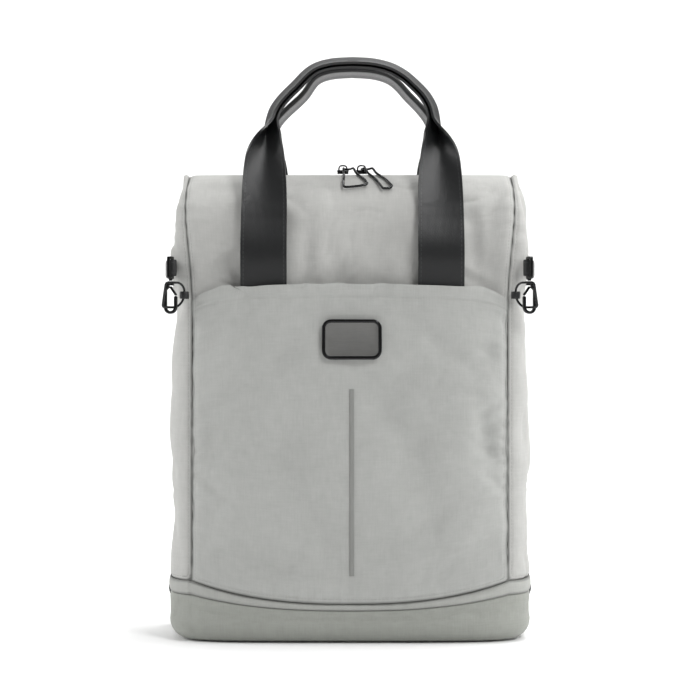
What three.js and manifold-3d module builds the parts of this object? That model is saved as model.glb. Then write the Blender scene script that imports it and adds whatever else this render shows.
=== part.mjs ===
// A convertible backpack: a soft tote with two carrying handles, a front slip pocket, a curved band above
// its base, snap hooks on side rings, and two shoulder straps on its back.
// Millimetres. X runs to the right as the front is seen, the front faces -Y, and +Z is up.
// The origin is the middle of the base on the floor.
import * as THREE from "three";
import { mergeVertices } from "three/addons/utils/BufferGeometryUtils.js";
import Module from "manifold-3d";

const { lerp, clamp, degToRad, smoothstep } = THREE.MathUtils;
const vec = (x, y, z) => new THREE.Vector3(x, y, z);

// Driving dimensions of the bag.
const bodyWidth = 304;
const bodyDepth = 140;
const bodyHeight = 388;
const clothThickness = 2;
const seamGap = 0.4;
const floorRadius = 16;

// The band above the base: where its lower seam runs, and how broad it is.
const seamAtFront = 27;
const seamAtCorner = 39;
const seamAtBack = 46;
const bandAtFront = 5.5;
const bandAtSide = 11.5;

// The slip pocket on the front.
const pocketTop = 294;
const pocketBulge = 9.8;
const hemSag = 12;

// Webbing handles, folded in half where the hand holds them.
const handleReach = 97.5;
const handleSpacing = 146;
const handleOffset = 2;
const backHandleDrop = 7;
const webbingWidth = 38;
const webbingThickness = 2;
const handleFoot = 262;
const gripSpread = 30;
const shoulderHeight = 0.9 * bodyHeight;

// Badge and stripe on the pocket.
const badgeWidth = 49;
const badgeHeight = 33;
const badgeRadius = 8;
const badgeBar = 3.4;
const badgeDepth = 3.2;
const badgeCentre = 249;
const badgeOffset = 1.5;
const stripeWidth = 4;
const stripeTop = 208;
const stripeBottom = 55;
const stripeThickness = 0.8;

// Zip, sliders and wire pulls on the ridge.
const zipInset = 9;
const coilWidth = 3.4;
const coilHeight = 1.6;
const tapeThickness = 1.4;
const sliderWidth = 7.5;
const sliderLength = 10;
const sliderHeight = 3.2;
const bailRise = 4.6;
const pullWire = 1.6;
const pullThroat = 5.2;
const pullTail = 3;
const pullBend = 1.6;

// Side rings, snap hooks and their narrow webbing. The hook's frame has its swivel's foot at the origin.
const ringHeight = 285.6;
const ringWidth = 21;
const ringReach = 19;
const ringWire = 2;
const ringTurn = 35;
const ringRoll = 16;
const ringStandOff = 5.6;
const tabWidth = 6;
const narrowWidth = 13.5;
const narrowThickness = 1.6;
const hookWidth = 11.6;
const hookLength = 27;
const hookThickness = 3;
const hookBar = 2.4;
const hookTurn = 20;
const hookOutward = 10.86;
const hookForward = 4.77;
const hookAbove = 11.4;
const eyeHeight = 18.5;
const eyeDepth = 9.4;
const eyeBar = 2.2;
const stemHeight = 1.8;
const gateBar = 1.8;

// Shoulder straps on the back.
const padWidth = 56;
const padThickness = 11;
const padTop = 322;
const padStandOff = 24;
const padDrop = 214;
const buckleLength = 22;
const buckleWidth = 30;
const buckleThickness = 2.6;
const buckleBar = 4;
const tailWidth = 20;
const loopRise = 17;
const loopReach = 9;
const loopWidth = 16;
const loopHeight = 33;
const tailBend = 12;
const tailFoot = 3;
const tailStandOff = 3;
const tailRest = 2;

const clearance = 0.4;

// The share of a panel that its edge keeps from a seam.
const seamTurn = seamGap / bodyDepth / 2;

const pocketLift = clothThickness + clearance;
const pocketDrop = 3;

// Level sections of the body, from the floor to the ridge. height is a share of the body's height; front and
// back are the faces' distances before and behind the origin, shares of the depth; side is the half width and
// frontSeam and backSeam are where the side panels begin, shares of half the width; square is how boxy the
// section is; tuck is how far the side panel folds in, a share of the depth.
const sections = [
  { height: 0.0, front: 0.494, back: 0.487, side: 0.993, frontSeam: 0.856, backSeam: 0.86, square: 4.5, tuck: 0 },
  { height: 0.077, front: 0.496, back: 0.49, side: 0.997, frontSeam: 0.86, backSeam: 0.86, square: 4.5, tuck: 0 },
  { height: 0.15, front: 0.478, back: 0.493, side: 0.999, frontSeam: 0.862, backSeam: 0.862, square: 4.5, tuck: 0 },
  { height: 0.3, front: 0.457, back: 0.493, side: 1.0, frontSeam: 0.862, backSeam: 0.865, square: 4.6, tuck: 0 },
  { height: 0.49, front: 0.439, back: 0.493, side: 0.999, frontSeam: 0.862, backSeam: 0.868, square: 4.8, tuck: 0 },
  { height: 0.66, front: 0.428, back: 0.49, side: 0.99, frontSeam: 0.862, backSeam: 0.87, square: 5, tuck: 0 },
  { height: 0.753, front: 0.421, back: 0.478, side: 1.0, frontSeam: 0.865, backSeam: 0.873, square: 5.2, tuck: 0.01 },
  { height: 0.838, front: 0.411, back: 0.443, side: 1.01, frontSeam: 0.884, backSeam: 0.88, square: 5.6, tuck: 0.03 },
  { height: 0.9, front: 0.386, back: 0.372, side: 1.004, frontSeam: 0.9, backSeam: 0.888, square: 6, tuck: 0.07 },
  { height: 0.946, front: 0.325, back: 0.28, side: 0.98, frontSeam: 0.905, backSeam: 0.89, square: 6, tuck: 0.1 },
  { height: 0.981, front: 0.225, back: 0.16, side: 0.948, frontSeam: 0.9, backSeam: 0.895, square: 6, tuck: 0.07 },
  { height: 1.0, front: 0.125, back: 0.01, side: 0.932, frontSeam: 0.892, backSeam: 0.892, square: 6, tuck: 0.01 },
];

// The zip's two sliders: their places to the right of the middle and each pull's size, as shares of a slider's
// length, and the pull's lean in degrees.
const sliders = [
  { side: "left", place: -0.6, width: 1.9, length: 2, lean: 8 },
  { side: "right", place: 0.98, width: 0.8, length: 2.5, lean: 42 },
];

// The main folds and dents of the cloth. face is the panel, across and up are the middle as shares of that
// panel's breadth and of the body's height, long and broad are the size as shares of the height, lean is the
// turn from upright in degrees, and depth is a share of the body's depth, negative where the cloth stands out.
const folds = [
  { face: "front", across: 0.07, up: 0.775, long: 0.07, broad: 0.03, lean: 60, depth: 0.03 },
  { face: "front", across: 0.16, up: 0.765, long: 0.05, broad: 0.022, lean: -35, depth: 0.022 },
  { face: "front", across: 0.93, up: 0.79, long: 0.06, broad: 0.028, lean: -50, depth: 0.028 },
  { face: "front", across: 0.3, up: 0.9, long: 0.09, broad: 0.03, lean: 12, depth: 0.008 },
  { face: "left", across: 0.86, up: 0.71, long: 0.05, broad: 0.03, lean: 70, depth: 0.03 },
  { face: "right", across: 0.14, up: 0.73, long: 0.05, broad: 0.03, lean: -60, depth: 0.034 },
  { face: "left", across: 0.8, up: 0.9, long: 0.1, broad: 0.02, lean: 4, depth: 0.02 },
  { face: "right", across: 0.24, up: 0.88, long: 0.06, broad: 0.024, lean: -22, depth: 0.03 },
  { face: "left", across: 0.5, up: 0.42, long: 0.2, broad: 0.05, lean: 3, depth: 0.016 },
  { face: "right", across: 0.5, up: 0.4, long: 0.22, broad: 0.05, lean: -3, depth: 0.016 },
  { face: "back", across: 0.5, up: 0.55, long: 0.34, broad: 0.06, lean: 0, depth: 0.02 },
];

// Folds of the pocket, across its breadth and up the body's height.
const pocketFolds = [
  { face: "pocket", across: 0.1, up: 0.165, long: 0.08, broad: 0.024, lean: 72, depth: 0.026 },
  { face: "pocket", across: 0.93, up: 0.43, long: 0.08, broad: 0.024, lean: -16, depth: 0.02 },
  { face: "pocket", across: 0.05, up: 0.62, long: 0.05, broad: 0.022, lean: 50, depth: 0.014 },
];

// The handle's middle line from its foot to the top. rise is a share of the way up from the foot, out of half
// the spacing, near of the way from the panel to the middle, and fold goes from 1, flat, to 0, folded in half.
const handleLine = [
  { rise: 0.0, out: 1.0, near: 0.0, fold: 1 },
  { rise: 0.13, out: 1.0, near: 0.0, fold: 1 },
  { rise: 0.26, out: 1.0, near: 0.0, fold: 0.99 },
  { rise: 0.37, out: 1.0, near: 0.03, fold: 0.95 },
  { rise: 0.46, out: 1.0, near: 0.11, fold: 0.88 },
  { rise: 0.55, out: 1.0, near: 0.22, fold: 0.76 },
  { rise: 0.63, out: 1.0, near: 0.34, fold: 0.6 },
  { rise: 0.695, out: 1.0, near: 0.48, fold: 0.36 },
  { rise: 0.75, out: 0.995, near: 0.62, fold: 0.12 },
  { rise: 0.81, out: 0.965, near: 0.73, fold: 0 },
  { rise: 0.862, out: 0.885, near: 0.81, fold: 0 },
  { rise: 0.908, out: 0.76, near: 0.88, fold: 0 },
  { rise: 0.948, out: 0.62, near: 0.93, fold: 0 },
  { rise: 0.978, out: 0.45, near: 0.97, fold: 0 },
  { rise: 0.995, out: 0.24, near: 0.99, fold: 0 },
  { rise: 1.0, out: 0.0, near: 1.0, fold: 0 },
];

// The shoulder pad's middle line, from its top. down is a share of the pad's height, out of half the body's
// width, away of the pad's stand-off, and broad and thick of its width and thickness.
const padLine = [
  { down: 0.0, out: 0.17, away: 0.0, broad: 0.82, thick: 0.25 },
  { down: 0.06, out: 0.172, away: 0.12, broad: 0.86, thick: 0.7 },
  { down: 0.2, out: 0.19, away: 0.62, broad: 0.96, thick: 1.0 },
  { down: 0.42, out: 0.27, away: 1.0, broad: 1.0, thick: 1.0 },
  { down: 0.64, out: 0.375, away: 1.0, broad: 0.98, thick: 1.0 },
  { down: 0.82, out: 0.48, away: 0.82, broad: 0.88, thick: 0.95 },
  { down: 0.94, out: 0.56, away: 0.62, broad: 0.66, thick: 0.8 },
  { down: 1.0, out: 0.605, away: 0.5, broad: 0.5, thick: 0.35 },
];

// The value of a table's column at a level from 0, its first row, to 1, its last, on a smooth curve.
function sample(rows, column, level) {
  const at = clamp(level, 0, 1) * (rows.length - 1);
  const row = Math.min(Math.floor(at), rows.length - 2);
  const part = at - row;
  const value = (k) => rows[clamp(k, 0, rows.length - 1)][column];
  const [a, b, c, d] = [value(row - 1), value(row), value(row + 1), value(row + 2)];
  const cubic = 3 * (b - c) + d - a;
  const square = 2 * a - 5 * b + 4 * c - d;
  return b + 0.5 * part * (c - a + part * (square + part * cubic));
}

// The level of the section table that lies at a height above the floor.
function levelAt(height) {
  let low = 0;
  let high = 1;
  for (let step = 0; step < 24; step += 1) {
    const middle = (low + high) / 2;
    if (sample(sections, "height", middle) * bodyHeight < height) low = middle;
    else high = middle;
  }
  return (low + high) / 2;
}

// How deep the listed folds dent a face at a point across it, from 0 to 1, and at a height.
function foldDepth(list, face, across, breadth, height) {
  let depth = 0;
  for (const fold of list) {
    if (fold.face !== face) continue;
    const lean = degToRad(fold.lean);
    const sideways = (across - fold.across) * breadth;
    const upward = height - fold.up * bodyHeight;
    const along = (sideways * Math.sin(lean) + upward * Math.cos(lean)) / (fold.long * bodyHeight);
    const over = (sideways * Math.cos(lean) - upward * Math.sin(lean)) / (fold.broad * bodyHeight);
    depth += fold.depth * bodyDepth * Math.exp(-along * along - over * over);
  }
  return depth * (1 - Math.abs(2 * across - 1) ** 10);
}

// A point of the body's outside. turn runs round it: 0 to 1 across the front from left to right, 1 to 2 back
// along the right side, 2 to 3 across the back, and 3 to 4 forward along the left side. taut leaves the
// side panels' tucks and dents out.
function bodyPoint(turn, level, taut = false) {
  const around = ((turn % 4) + 4) % 4;
  const face = Math.floor(around);
  const share = around - face;
  const row = (column) => sample(sections, column, level);
  const height = row("height") * bodyHeight;
  const front = row("front") * bodyDepth;
  const back = row("back") * bodyDepth;
  const side = (row("side") * bodyWidth) / 2;
  const square = row("square");
  const halfDepth = (front + back) / 2;
  const middle = (back - front) / 2;
  const rest = (ratio) => (1 - Math.min(Math.abs(ratio), 1) ** square) ** (1 / square);
  const frontSeam = (row("frontSeam") * bodyWidth) / 2;
  const backSeam = (row("backSeam") * bodyWidth) / 2;
  if (face === 0) {
    const x = lerp(-frontSeam, frontSeam, share);
    const dent = foldDepth(folds, "front", share, 2 * frontSeam, height);
    return vec(x, middle - halfDepth * rest(x / side) + dent, height);
  }
  if (face === 2) {
    const x = lerp(backSeam, -backSeam, share);
    const dent = foldDepth(folds, "back", share, 2 * backSeam, height);
    return vec(x, middle + halfDepth * rest(x / side) - dent, height);
  }
  const sign = face === 1 ? 1 : -1;
  const backward = face === 1 ? share : 1 - share;
  const y = lerp(-rest(frontSeam / side), rest(backSeam / side), backward);
  const tuck = Math.exp(-(((2 * backward - 1) / 0.36) ** 2)) * row("tuck") * bodyDepth;
  const dent = foldDepth(folds, face === 1 ? "right" : "left", share, 2 * halfDepth, height);
  const inward = taut ? 0 : tuck + dent;
  return vec(sign * (side * rest(y) - inward), middle + halfDepth * y, height);
}

// The direction out of a surface at two parameters, from the points just beside it.
function normalOf(point, across, up, step) {
  const along = point(across + step, up).sub(point(across - step, up));
  const rising = point(across, up + step).sub(point(across, up - step));
  return along.cross(rising).normalize();
}

// At a seam both panels use the seam's own direction, so that their edges stay side by side.
function bodyNormal(turn, level) {
  const seam = Math.round(turn);
  const at = Math.abs(turn - seam) < 2 * seamTurn ? seam : turn;
  return normalOf(bodyPoint, at, level, 0.012);
}

// A point at a distance outside the body, or inside it where the distance is negative.
function besideBody(turn, level, distance) {
  return bodyPoint(turn, level).addScaledVector(bodyNormal(turn, level), distance);
}

// The heights of the band's lower and upper edges round the body.
function shareToBack(turn) {
  const around = ((turn % 4) + 4) % 4;
  if (around <= 1) return 0;
  if (around <= 2) return smoothstep(around, 1, 2);
  return around <= 3 ? 1 : smoothstep(4 - around, 0, 1);
}

function shareToCorner(turn) {
  const around = ((turn % 4) + 4) % 4;
  return around < 1 ? Math.abs(2 * around - 1) ** 2.4 : 1;
}

function seamHeight(turn) {
  const front = lerp(seamAtFront, seamAtCorner, shareToCorner(turn));
  return lerp(front, seamAtBack, shareToBack(turn));
}

function bandHeight(turn) {
  return seamHeight(turn) + lerp(bandAtFront, bandAtSide, shareToCorner(turn));
}

// The pocket's top edge across the front, a little lower at its corners.
function hemHeight(share) {
  const side = Math.abs(2 * share - 1);
  return pocketTop - hemSag * (0.25 * side ** 2 + 0.75 * side ** 8);
}

// A closed solid between an outer and an inner grid of points. Its rows or columns may close on themselves.
function gridSolid(outer, inner, roundColumns = false, roundRows = false) {
  const rows = outer.length;
  const columns = outer[0].length;
  const positions = [...outer.flat(), ...inner.flat()];
  const at = (grid, row, column) => (grid * rows + (row % rows)) * columns + (column % columns);
  const faces = [];
  const quad = (a, b, c, d) => faces.push([a, b, c], [a, c, d]);
  const lastRow = roundRows ? rows : rows - 1;
  const lastColumn = roundColumns ? columns : columns - 1;
  for (let row = 0; row < lastRow; row += 1) {
    for (let column = 0; column < lastColumn; column += 1) {
      const [r, c] = [row + 1, column + 1];
      quad(at(0, row, column), at(0, row, c), at(0, r, c), at(0, r, column));
      quad(at(1, r, column), at(1, r, c), at(1, row, c), at(1, row, column));
    }
  }
  for (let column = 0; column < lastColumn && !roundRows; column += 1) {
    const [c, r] = [column + 1, rows - 1];
    quad(at(1, 0, column), at(1, 0, c), at(0, 0, c), at(0, 0, column));
    quad(at(0, r, column), at(0, r, c), at(1, r, c), at(1, r, column));
  }
  for (let row = 0; row < lastRow && !roundColumns; row += 1) {
    const [r, c] = [row + 1, columns - 1];
    quad(at(0, row, 0), at(0, r, 0), at(1, r, 0), at(1, row, 0));
    quad(at(1, row, c), at(1, r, c), at(0, r, c), at(0, row, c));
  }
  return facingOut(positions, faces);
}

// A geometry of points and triangles, turned to face out.
function facingOut(points, faces) {
  let volume = 0;
  for (const [a, b, c] of faces) volume += points[a].dot(points[b].clone().cross(points[c]));
  const ordered = volume < 0 ? faces.map(([a, b, c]) => [a, c, b]) : faces;
  const geometry = new THREE.BufferGeometry().setFromPoints(points);
  geometry.setIndex(ordered.flat());
  geometry.computeVertexNormals();
  return geometry;
}

// Evenly spaced values from one number to another, both included.
function steps(from, to, count) {
  return Array.from({ length: count + 1 }, (_, k) => lerp(from, to, k / count));
}

// The heights that the panels of the wall reach down to and up to.
const panelRows = 14;

// A level of a panel at a share of the way up from the band to the ridge.
const panelLevel = (turn, share) => lerp(levelAt(bandHeight(turn) + seamGap), 1, share);

// The front or the back panel, from seam to seam.
function widePanel(from, columns) {
  const turns = steps(from, from + 1, columns);
  const grid = (inset) =>
    steps(0, 1, panelRows).map((share) =>
      turns.map((turn) => besideBody(turn, panelLevel(turn, share), -inset)),
    );
  return gridSolid(grid(0), grid(clothThickness));
}

// A point on a side panel's edge, which keeps its gap from the seam beside it.
function edgePoint(seam, away, level, distance) {
  const rising = bodyPoint(seam, level + 0.01).sub(bodyPoint(seam, level - 0.01));
  const sideways = rising.cross(bodyNormal(seam, level)).normalize();
  return besideBody(seam, level, distance).addScaledVector(sideways, away * seamGap);
}

// A side panel, from the seam at one turn to the next.
function sidePanel(from, columns) {
  const turns = steps(from, from + 1, columns);
  const grid = (inset) =>
    steps(0, 1, panelRows).map((share) =>
      turns.map((turn) => {
        const level = panelLevel(turn, share);
        if (turn === from) return edgePoint(turn, 1, level, -inset);
        if (turn === from + 1) return edgePoint(turn, -1, level, -inset);
        return besideBody(turn, level, -inset);
      }),
    );
  return gridSolid(grid(0), grid(clothThickness));
}

// The base: a flat floor, a rounded edge and a wall up to the band.
function basePanel() {
  const turns = steps(0, 4, 36).slice(0, -1);
  const floorShares = [0.6];
  const arcs = steps(0, 90, 3);
  const wallShares = [0.5, 1];
  const grid = (inset) => {
    const radius = floorRadius - inset;
    const edge = (turn, angle) => {
      const outside = besideBody(turn, levelAt(floorRadius), 0);
      const out = bodyNormal(turn, levelAt(floorRadius)).setZ(0).normalize();
      const inward = floorRadius - radius * Math.sin(degToRad(angle));
      return outside.addScaledVector(out, -inward).setZ(floorRadius - radius * Math.cos(degToRad(angle)));
    };
    const floor = floorShares.map((share) =>
      turns.map((turn) => edge(turn, 0).multiply(vec(share, share, 1))),
    );
    const rounded = arcs.map((angle) => turns.map((turn) => edge(turn, angle)));
    const wall = wallShares.map((share) =>
      turns.map((turn) => besideBody(turn, levelAt(lerp(floorRadius, seamHeight(turn) - seamGap, share)), -inset)),
    );
    return [...floor, ...rounded, ...wall];
  };
  return cupSolid(grid(0), grid(clothThickness));
}

// A closed cup between an outer and an inner grid, each with a middle point on its floor.
function cupSolid(outer, inner) {
  const rows = outer.length;
  const columns = outer[0].length;
  const points = [...outer.flat(), ...inner.flat()];
  const at = (grid, row, column) => (grid * rows + row) * columns + (column % columns);
  const faces = [];
  const quad = (a, b, c, d) => faces.push([a, b, c], [a, c, d]);
  for (let column = 0; column < columns; column += 1) {
    const c = column + 1;
    for (let row = 0; row < rows - 1; row += 1) {
      quad(at(0, row, column), at(0, row, c), at(0, row + 1, c), at(0, row + 1, column));
      quad(at(1, row + 1, column), at(1, row + 1, c), at(1, row, c), at(1, row, column));
    }
    quad(at(0, rows - 1, column), at(0, rows - 1, c), at(1, rows - 1, c), at(1, rows - 1, column));
  }
  for (const grid of [0, 1]) {
    const middle = points.push(vec(0, 0, points[at(grid, 0, 0)].z)) - 1;
    for (let column = 0; column < columns; column += 1) {
      const pair = [at(grid, 0, column), at(grid, 0, column + 1)];
      faces.push(grid === 0 ? [middle, pair[1], pair[0]] : [middle, pair[0], pair[1]]);
    }
  }
  return facingOut(points, faces);
}

// The band that runs round the body above the base.
function bandPanel() {
  const turns = steps(0, 4, 36).slice(0, -1);
  const grid = (inset) =>
    [0, 1].map((share) =>
      turns.map((turn) => besideBody(turn, levelAt(lerp(seamHeight(turn), bandHeight(turn), share)), -inset)),
    );
  return gridSolid(grid(0), grid(clothThickness), true);
}

// How far the pocket's outside stands in front of the body, across its breadth and up its height.
function pocketRise(share, up) {
  const across = 1 - Math.abs(2 * share - 1) ** 5;
  const upward = smoothstep(up, -0.05, 0.34) * lerp(1, 0.86, smoothstep(up, 0.7, 1));
  return pocketLift + pocketBulge * across * upward;
}

// A point of the pocket's outside. up runs from its bottom seam, 0, to its hem, 1.
function pocketPoint(share, up, distance = 0) {
  const height = lerp(bandHeight(share) + seamGap, hemHeight(share), up);
  const level = levelAt(height);
  const dent = foldDepth(pocketFolds, "pocket", share, bodyWidth, height);
  const shrink = lerp(0.5, share, 1 - pocketDrop / bodyWidth);
  const rise = pocketRise(share, up) - Math.min(dent, pocketRise(share, up) - pocketLift);
  return besideBody(clamp(shrink, 0, 1), level, rise + distance);
}

function pocketPanel() {
  const shares = steps(0, 1, 14);
  const ups = steps(0, 1, 12);
  const grid = (inset) => ups.map((up) => shares.map((share) => pocketPoint(share, up, -inset)));
  return gridSolid(grid(0), grid(clothThickness));
}

// The place across the pocket, from 0 to 1, of a distance to the right of its middle.
const pocketShare = (x) => 0.5 + x / (sample(sections, "frontSeam", 0.5) * bodyWidth);
const pocketUp = (height) => (height - bandHeight(0.5)) / (pocketTop - bandHeight(0.5));

function stripePanel() {
  const shares = [-stripeWidth / 2, stripeWidth / 2].map((x) => pocketShare(x + badgeOffset));
  const ups = steps(pocketUp(stripeBottom), pocketUp(stripeTop), 12);
  const grid = (lift) => ups.map((up) => shares.map((share) => pocketPoint(share, up, lift)));
  return gridSolid(grid(clearance + stripeThickness), grid(clearance));
}

// The outline of a rectangle with round corners, as a shape or a hole.
function roundedRectangle(width, height, radius, Kind = THREE.Shape) {
  const [x, y] = [width / 2 - radius, height / 2 - radius];
  const outline = new Kind();
  outline.absarc(x, y, radius, 0, Math.PI / 2);
  outline.absarc(-x, y, radius, Math.PI / 2, Math.PI);
  outline.absarc(-x, -y, radius, Math.PI, Math.PI * 1.5);
  outline.absarc(x, -y, radius, Math.PI * 1.5, Math.PI * 2);
  outline.closePath();
  return outline;
}

// A flat plate of a shape, with its middle plane at z = 0.
function plate(shape, thickness, curveSegments = 4) {
  const geometry = new THREE.ExtrudeGeometry(shape, { depth: thickness, bevelEnabled: false, curveSegments });
  return geometry.translate(0, 0, -thickness / 2);
}

function badgeFrame() {
  const shape = roundedRectangle(badgeWidth, badgeHeight, badgeRadius);
  const [width, height] = [badgeWidth - 2 * badgeBar, badgeHeight - 2 * badgeBar];
  shape.holes.push(roundedRectangle(width, height, badgeRadius - badgeBar, THREE.Path));
  return plate(shape, badgeDepth, 5);
}

function badgePlate() {
  const play = 2 * (badgeBar + clearance);
  const radius = badgeRadius - badgeBar - clearance;
  return plate(roundedRectangle(badgeWidth - play, badgeHeight - play, radius), badgeDepth / 2, 5);
}

// A strip of webbing along a line of places, each with the direction out of its face.
function webbing(places, width, thickness) {
  const line = places.map((place) => place.at);
  const edge = (row, side, lift) => {
    const ahead = line[Math.min(row + 1, line.length - 1)].clone();
    const run = ahead.sub(line[Math.max(row - 1, 0)]).normalize();
    const sideways = places[row].out.clone().cross(run).normalize();
    const out = run.clone().cross(sideways).normalize();
    const reach = (side * width * (places[row].broad ?? 1)) / 2;
    return line[row].clone().addScaledVector(sideways, reach).addScaledVector(out, lift);
  };
  const grid = (lift) => line.map((_, row) => [-1, 1].map((side) => edge(row, side, lift)));
  return gridSolid(grid(thickness / 2), grid(-thickness / 2));
}

// How far a face of the body stands out at a place, taken over the webbing's breadth.
function faceUnder(x, height, side) {
  const reaches = [-1, 0, 1].map((edge) => side * facePoint(x + (edge * webbingWidth) / 2, height, side));
  return side * Math.max(...reaches);
}

// Where the front or the back face of the body lies, at a distance to the right and a height.
function facePoint(x, height, side) {
  const level = levelAt(height);
  const seam = (sample(sections, side < 0 ? "frontSeam" : "backSeam", level) * bodyWidth) / 2;
  const share = 0.5 + x / (2 * seam);
  return bodyPoint(side < 0 ? share : 3 - share, level).y;
}

// The handle's middle line. side is -1 for the front handle and 1 for the back one, and along goes from 0 at
// its left foot to 1 at its right foot.
function handleMiddle(along, side) {
  const level = 1 - Math.abs(2 * along - 1);
  const hand = along < 0.5 ? -1 : 1;
  const top = bodyHeight + handleReach - (side < 0 ? 0 : backHandleDrop);
  const height = lerp(handleFoot, top, sample(handleLine, "rise", level));
  const x = (hand * sample(handleLine, "out", level) * handleSpacing) / 2 + handleOffset;
  const lift = clearance + webbingThickness / 2;
  const panel = faceUnder(x, Math.min(height, shoulderHeight), side) + side * lift;
  const grip = (side * (gripSpread - webbingWidth / 2)) / 2;
  const straight = lerp(panel, grip, sample(handleLine, "near", level));
  if (height > bodyHeight + lift) return vec(x, straight, height);
  const under = faceUnder(x, Math.min(height, bodyHeight - 1), side) + side * (lift + 0.5);
  return vec(x, side * Math.max(side * straight, side * under), height);
}

// One handle: flat webbing at its feet, whose two edges turn away from the body and meet at the grip.
function handle(side) {
  const arms = [-1, 0, 1];
  const grid = (lift) =>
    steps(0, 1, 44).map((along) => {
      const middle = handleMiddle(along, side);
      const ahead = handleMiddle(Math.min(along + 0.004, 1), side);
      const run = ahead.sub(handleMiddle(Math.max(along - 0.004, 0), side));
      const outward = vec(-run.z, 0, run.x).normalize();
      const open = sample(handleLine, "fold", 1 - Math.abs(2 * along - 1)) * (Math.PI / 2);
      const layer = (webbingThickness + clearance) / 2;
      return arms.map((arm) => {
        const half = (Math.abs(arm) * webbingWidth) / 2;
        const spread = Math.max(layer, half * Math.sin(open)) * -arm;
        const face = arm === 0 ? 1 : Math.sin(open);
        const place = middle.clone().addScaledVector(outward, spread - arm * Math.cos(open) * lift);
        return place.add(vec(0, side * (half * Math.cos(open) - face * lift), 0));
      });
    });
  return gridSolid(grid(webbingThickness / 2), grid(-webbingThickness / 2));
}

// The zip in the ridge: a tape with a raised coil along its middle, between the two panels' edges.
function zipStrip() {
  const reach = (sample(sections, "frontSeam", 1) * bodyWidth) / 2 - zipInset;
  const columns = steps(-reach, reach, 16);
  const breadth = 2 * (reach + zipInset);
  const profile = [0, 0.3, 0.3, 0.5, 0.7, 0.7, 1];
  const raised = [0, 0, coilHeight, coilHeight, coilHeight, 0, 0];
  const grid = (top) =>
    columns.map((x) => {
      const share = 0.5 + x / breadth;
      const front = besideBody(share, 1, -clothThickness).y + 2 * clearance;
      const back = besideBody(3 - share, 1, -clothThickness).y - 2 * clearance;
      const middle = (front + back) / 2;
      return profile.map((across, k) => {
        const onCoil = across > 0 && across < 1;
        const y = onCoil ? middle + (across - 0.5) * 2.5 * coilWidth : lerp(front, back, across);
        return vec(x, y, zipHeight + (top ? raised[k] : -tapeThickness));
      });
    });
  return gridSolid(grid(true), grid(false));
}

const zipHeight = bodyHeight - 0.5;
const coilTop = zipHeight + coilHeight;

// A round wire along a list of points, closed on itself or with flat ends.
function wire(points, radius, sides, closed) {
  const count = points.length;
  const up = planeNormal(points);
  const rings = points.map((point, k) => {
    const before = points[closed ? (k + count - 1) % count : Math.max(k - 1, 0)];
    const after = points[closed ? (k + 1) % count : Math.min(k + 1, count - 1)];
    const run = after.clone().sub(before).normalize();
    const side = run.clone().cross(up).normalize();
    const rise = side.clone().cross(run);
    return steps(0, 2 * Math.PI, sides)
      .slice(0, -1)
      .map((angle) => {
        const offset = side.clone().multiplyScalar(Math.cos(angle) * radius);
        return point.clone().add(offset).addScaledVector(rise, Math.sin(angle) * radius);
      });
  });
  return closed ? tubeSolid(rings, true) : tubeSolid(rings, false);
}

// The direction that a flat loop of points faces.
function planeNormal(points) {
  const sum = vec(0, 0, 0);
  points.forEach((point, k) => sum.add(point.clone().cross(points[(k + 1) % points.length])));
  return sum.normalize();
}

// A solid skinned over a list of rings of points, joined end to end or with its ends filled.
function tubeSolid(rings, closed) {
  const sides = rings[0].length;
  const points = rings.flat();
  const faces = [];
  const last = closed ? rings.length : rings.length - 1;
  for (let ring = 0; ring < last; ring += 1) {
    for (let side = 0; side < sides; side += 1) {
      const next = (ring + 1) % rings.length;
      const [a, b] = [ring * sides + side, ring * sides + ((side + 1) % sides)];
      const [c, d] = [next * sides + ((side + 1) % sides), next * sides + side];
      faces.push([a, b, c], [a, c, d]);
    }
  }
  for (let side = 1; side < sides - 1 && !closed; side += 1) {
    const end = (rings.length - 1) * sides;
    faces.push([0, side + 1, side], [end, end + side, end + side + 1]);
  }
  return facingOut(points, faces);
}

// A flat loop of points with round corners, from corner points and one radius, its sides cut into steps.
function roundedLoop(corners, radius, arcSteps, sideSteps) {
  const loop = [];
  corners.forEach((corner, k) => {
    const before = corners[(k + corners.length - 1) % corners.length].clone().sub(corner).normalize();
    const after = corners[(k + 1) % corners.length].clone().sub(corner).normalize();
    const half = before.angleTo(after) / 2;
    const start = corner.clone().addScaledVector(before, radius / Math.tan(half));
    const end = corner.clone().addScaledVector(after, radius / Math.tan(half));
    const bend = new THREE.QuadraticBezierCurve3(start, corner, end);
    loop.push(...bend.getPoints(arcSteps));
  });
  const arc = arcSteps + 1;
  return loop.flatMap((point, k) => {
    const next = loop[(k + 1) % loop.length];
    const cuts = k % arc === arcSteps ? sideSteps : 1;
    return steps(0, 1, cuts).slice(0, -1).map((part) => point.clone().lerp(next, part));
  });
}

// Solids of several closed pieces become one.
const wasm = await Module();
wasm.setup();

function joined(...geometries) {
  const solids = geometries.map((geometry) => {
    const bare = new THREE.BufferGeometry().setAttribute("position", geometry.getAttribute("position"));
    if (geometry.index) bare.setIndex(geometry.index);
    const merged = mergeVertices(bare, 1e-4);
    const mesh = new wasm.Mesh({
      numProp: 3,
      vertProperties: new Float32Array(merged.attributes.position.array),
      triVerts: new Uint32Array(merged.index.array),
    });
    return new wasm.Manifold(mesh);
  });
  const whole = solids.reduce((sum, solid) => sum.add(solid)).getMesh();
  const geometry = new THREE.BufferGeometry();
  geometry.setAttribute("position", new THREE.BufferAttribute(whole.vertProperties, 3));
  geometry.setIndex(new THREE.BufferAttribute(whole.triVerts, 1));
  geometry.computeVertexNormals();
  return geometry;
}

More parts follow.
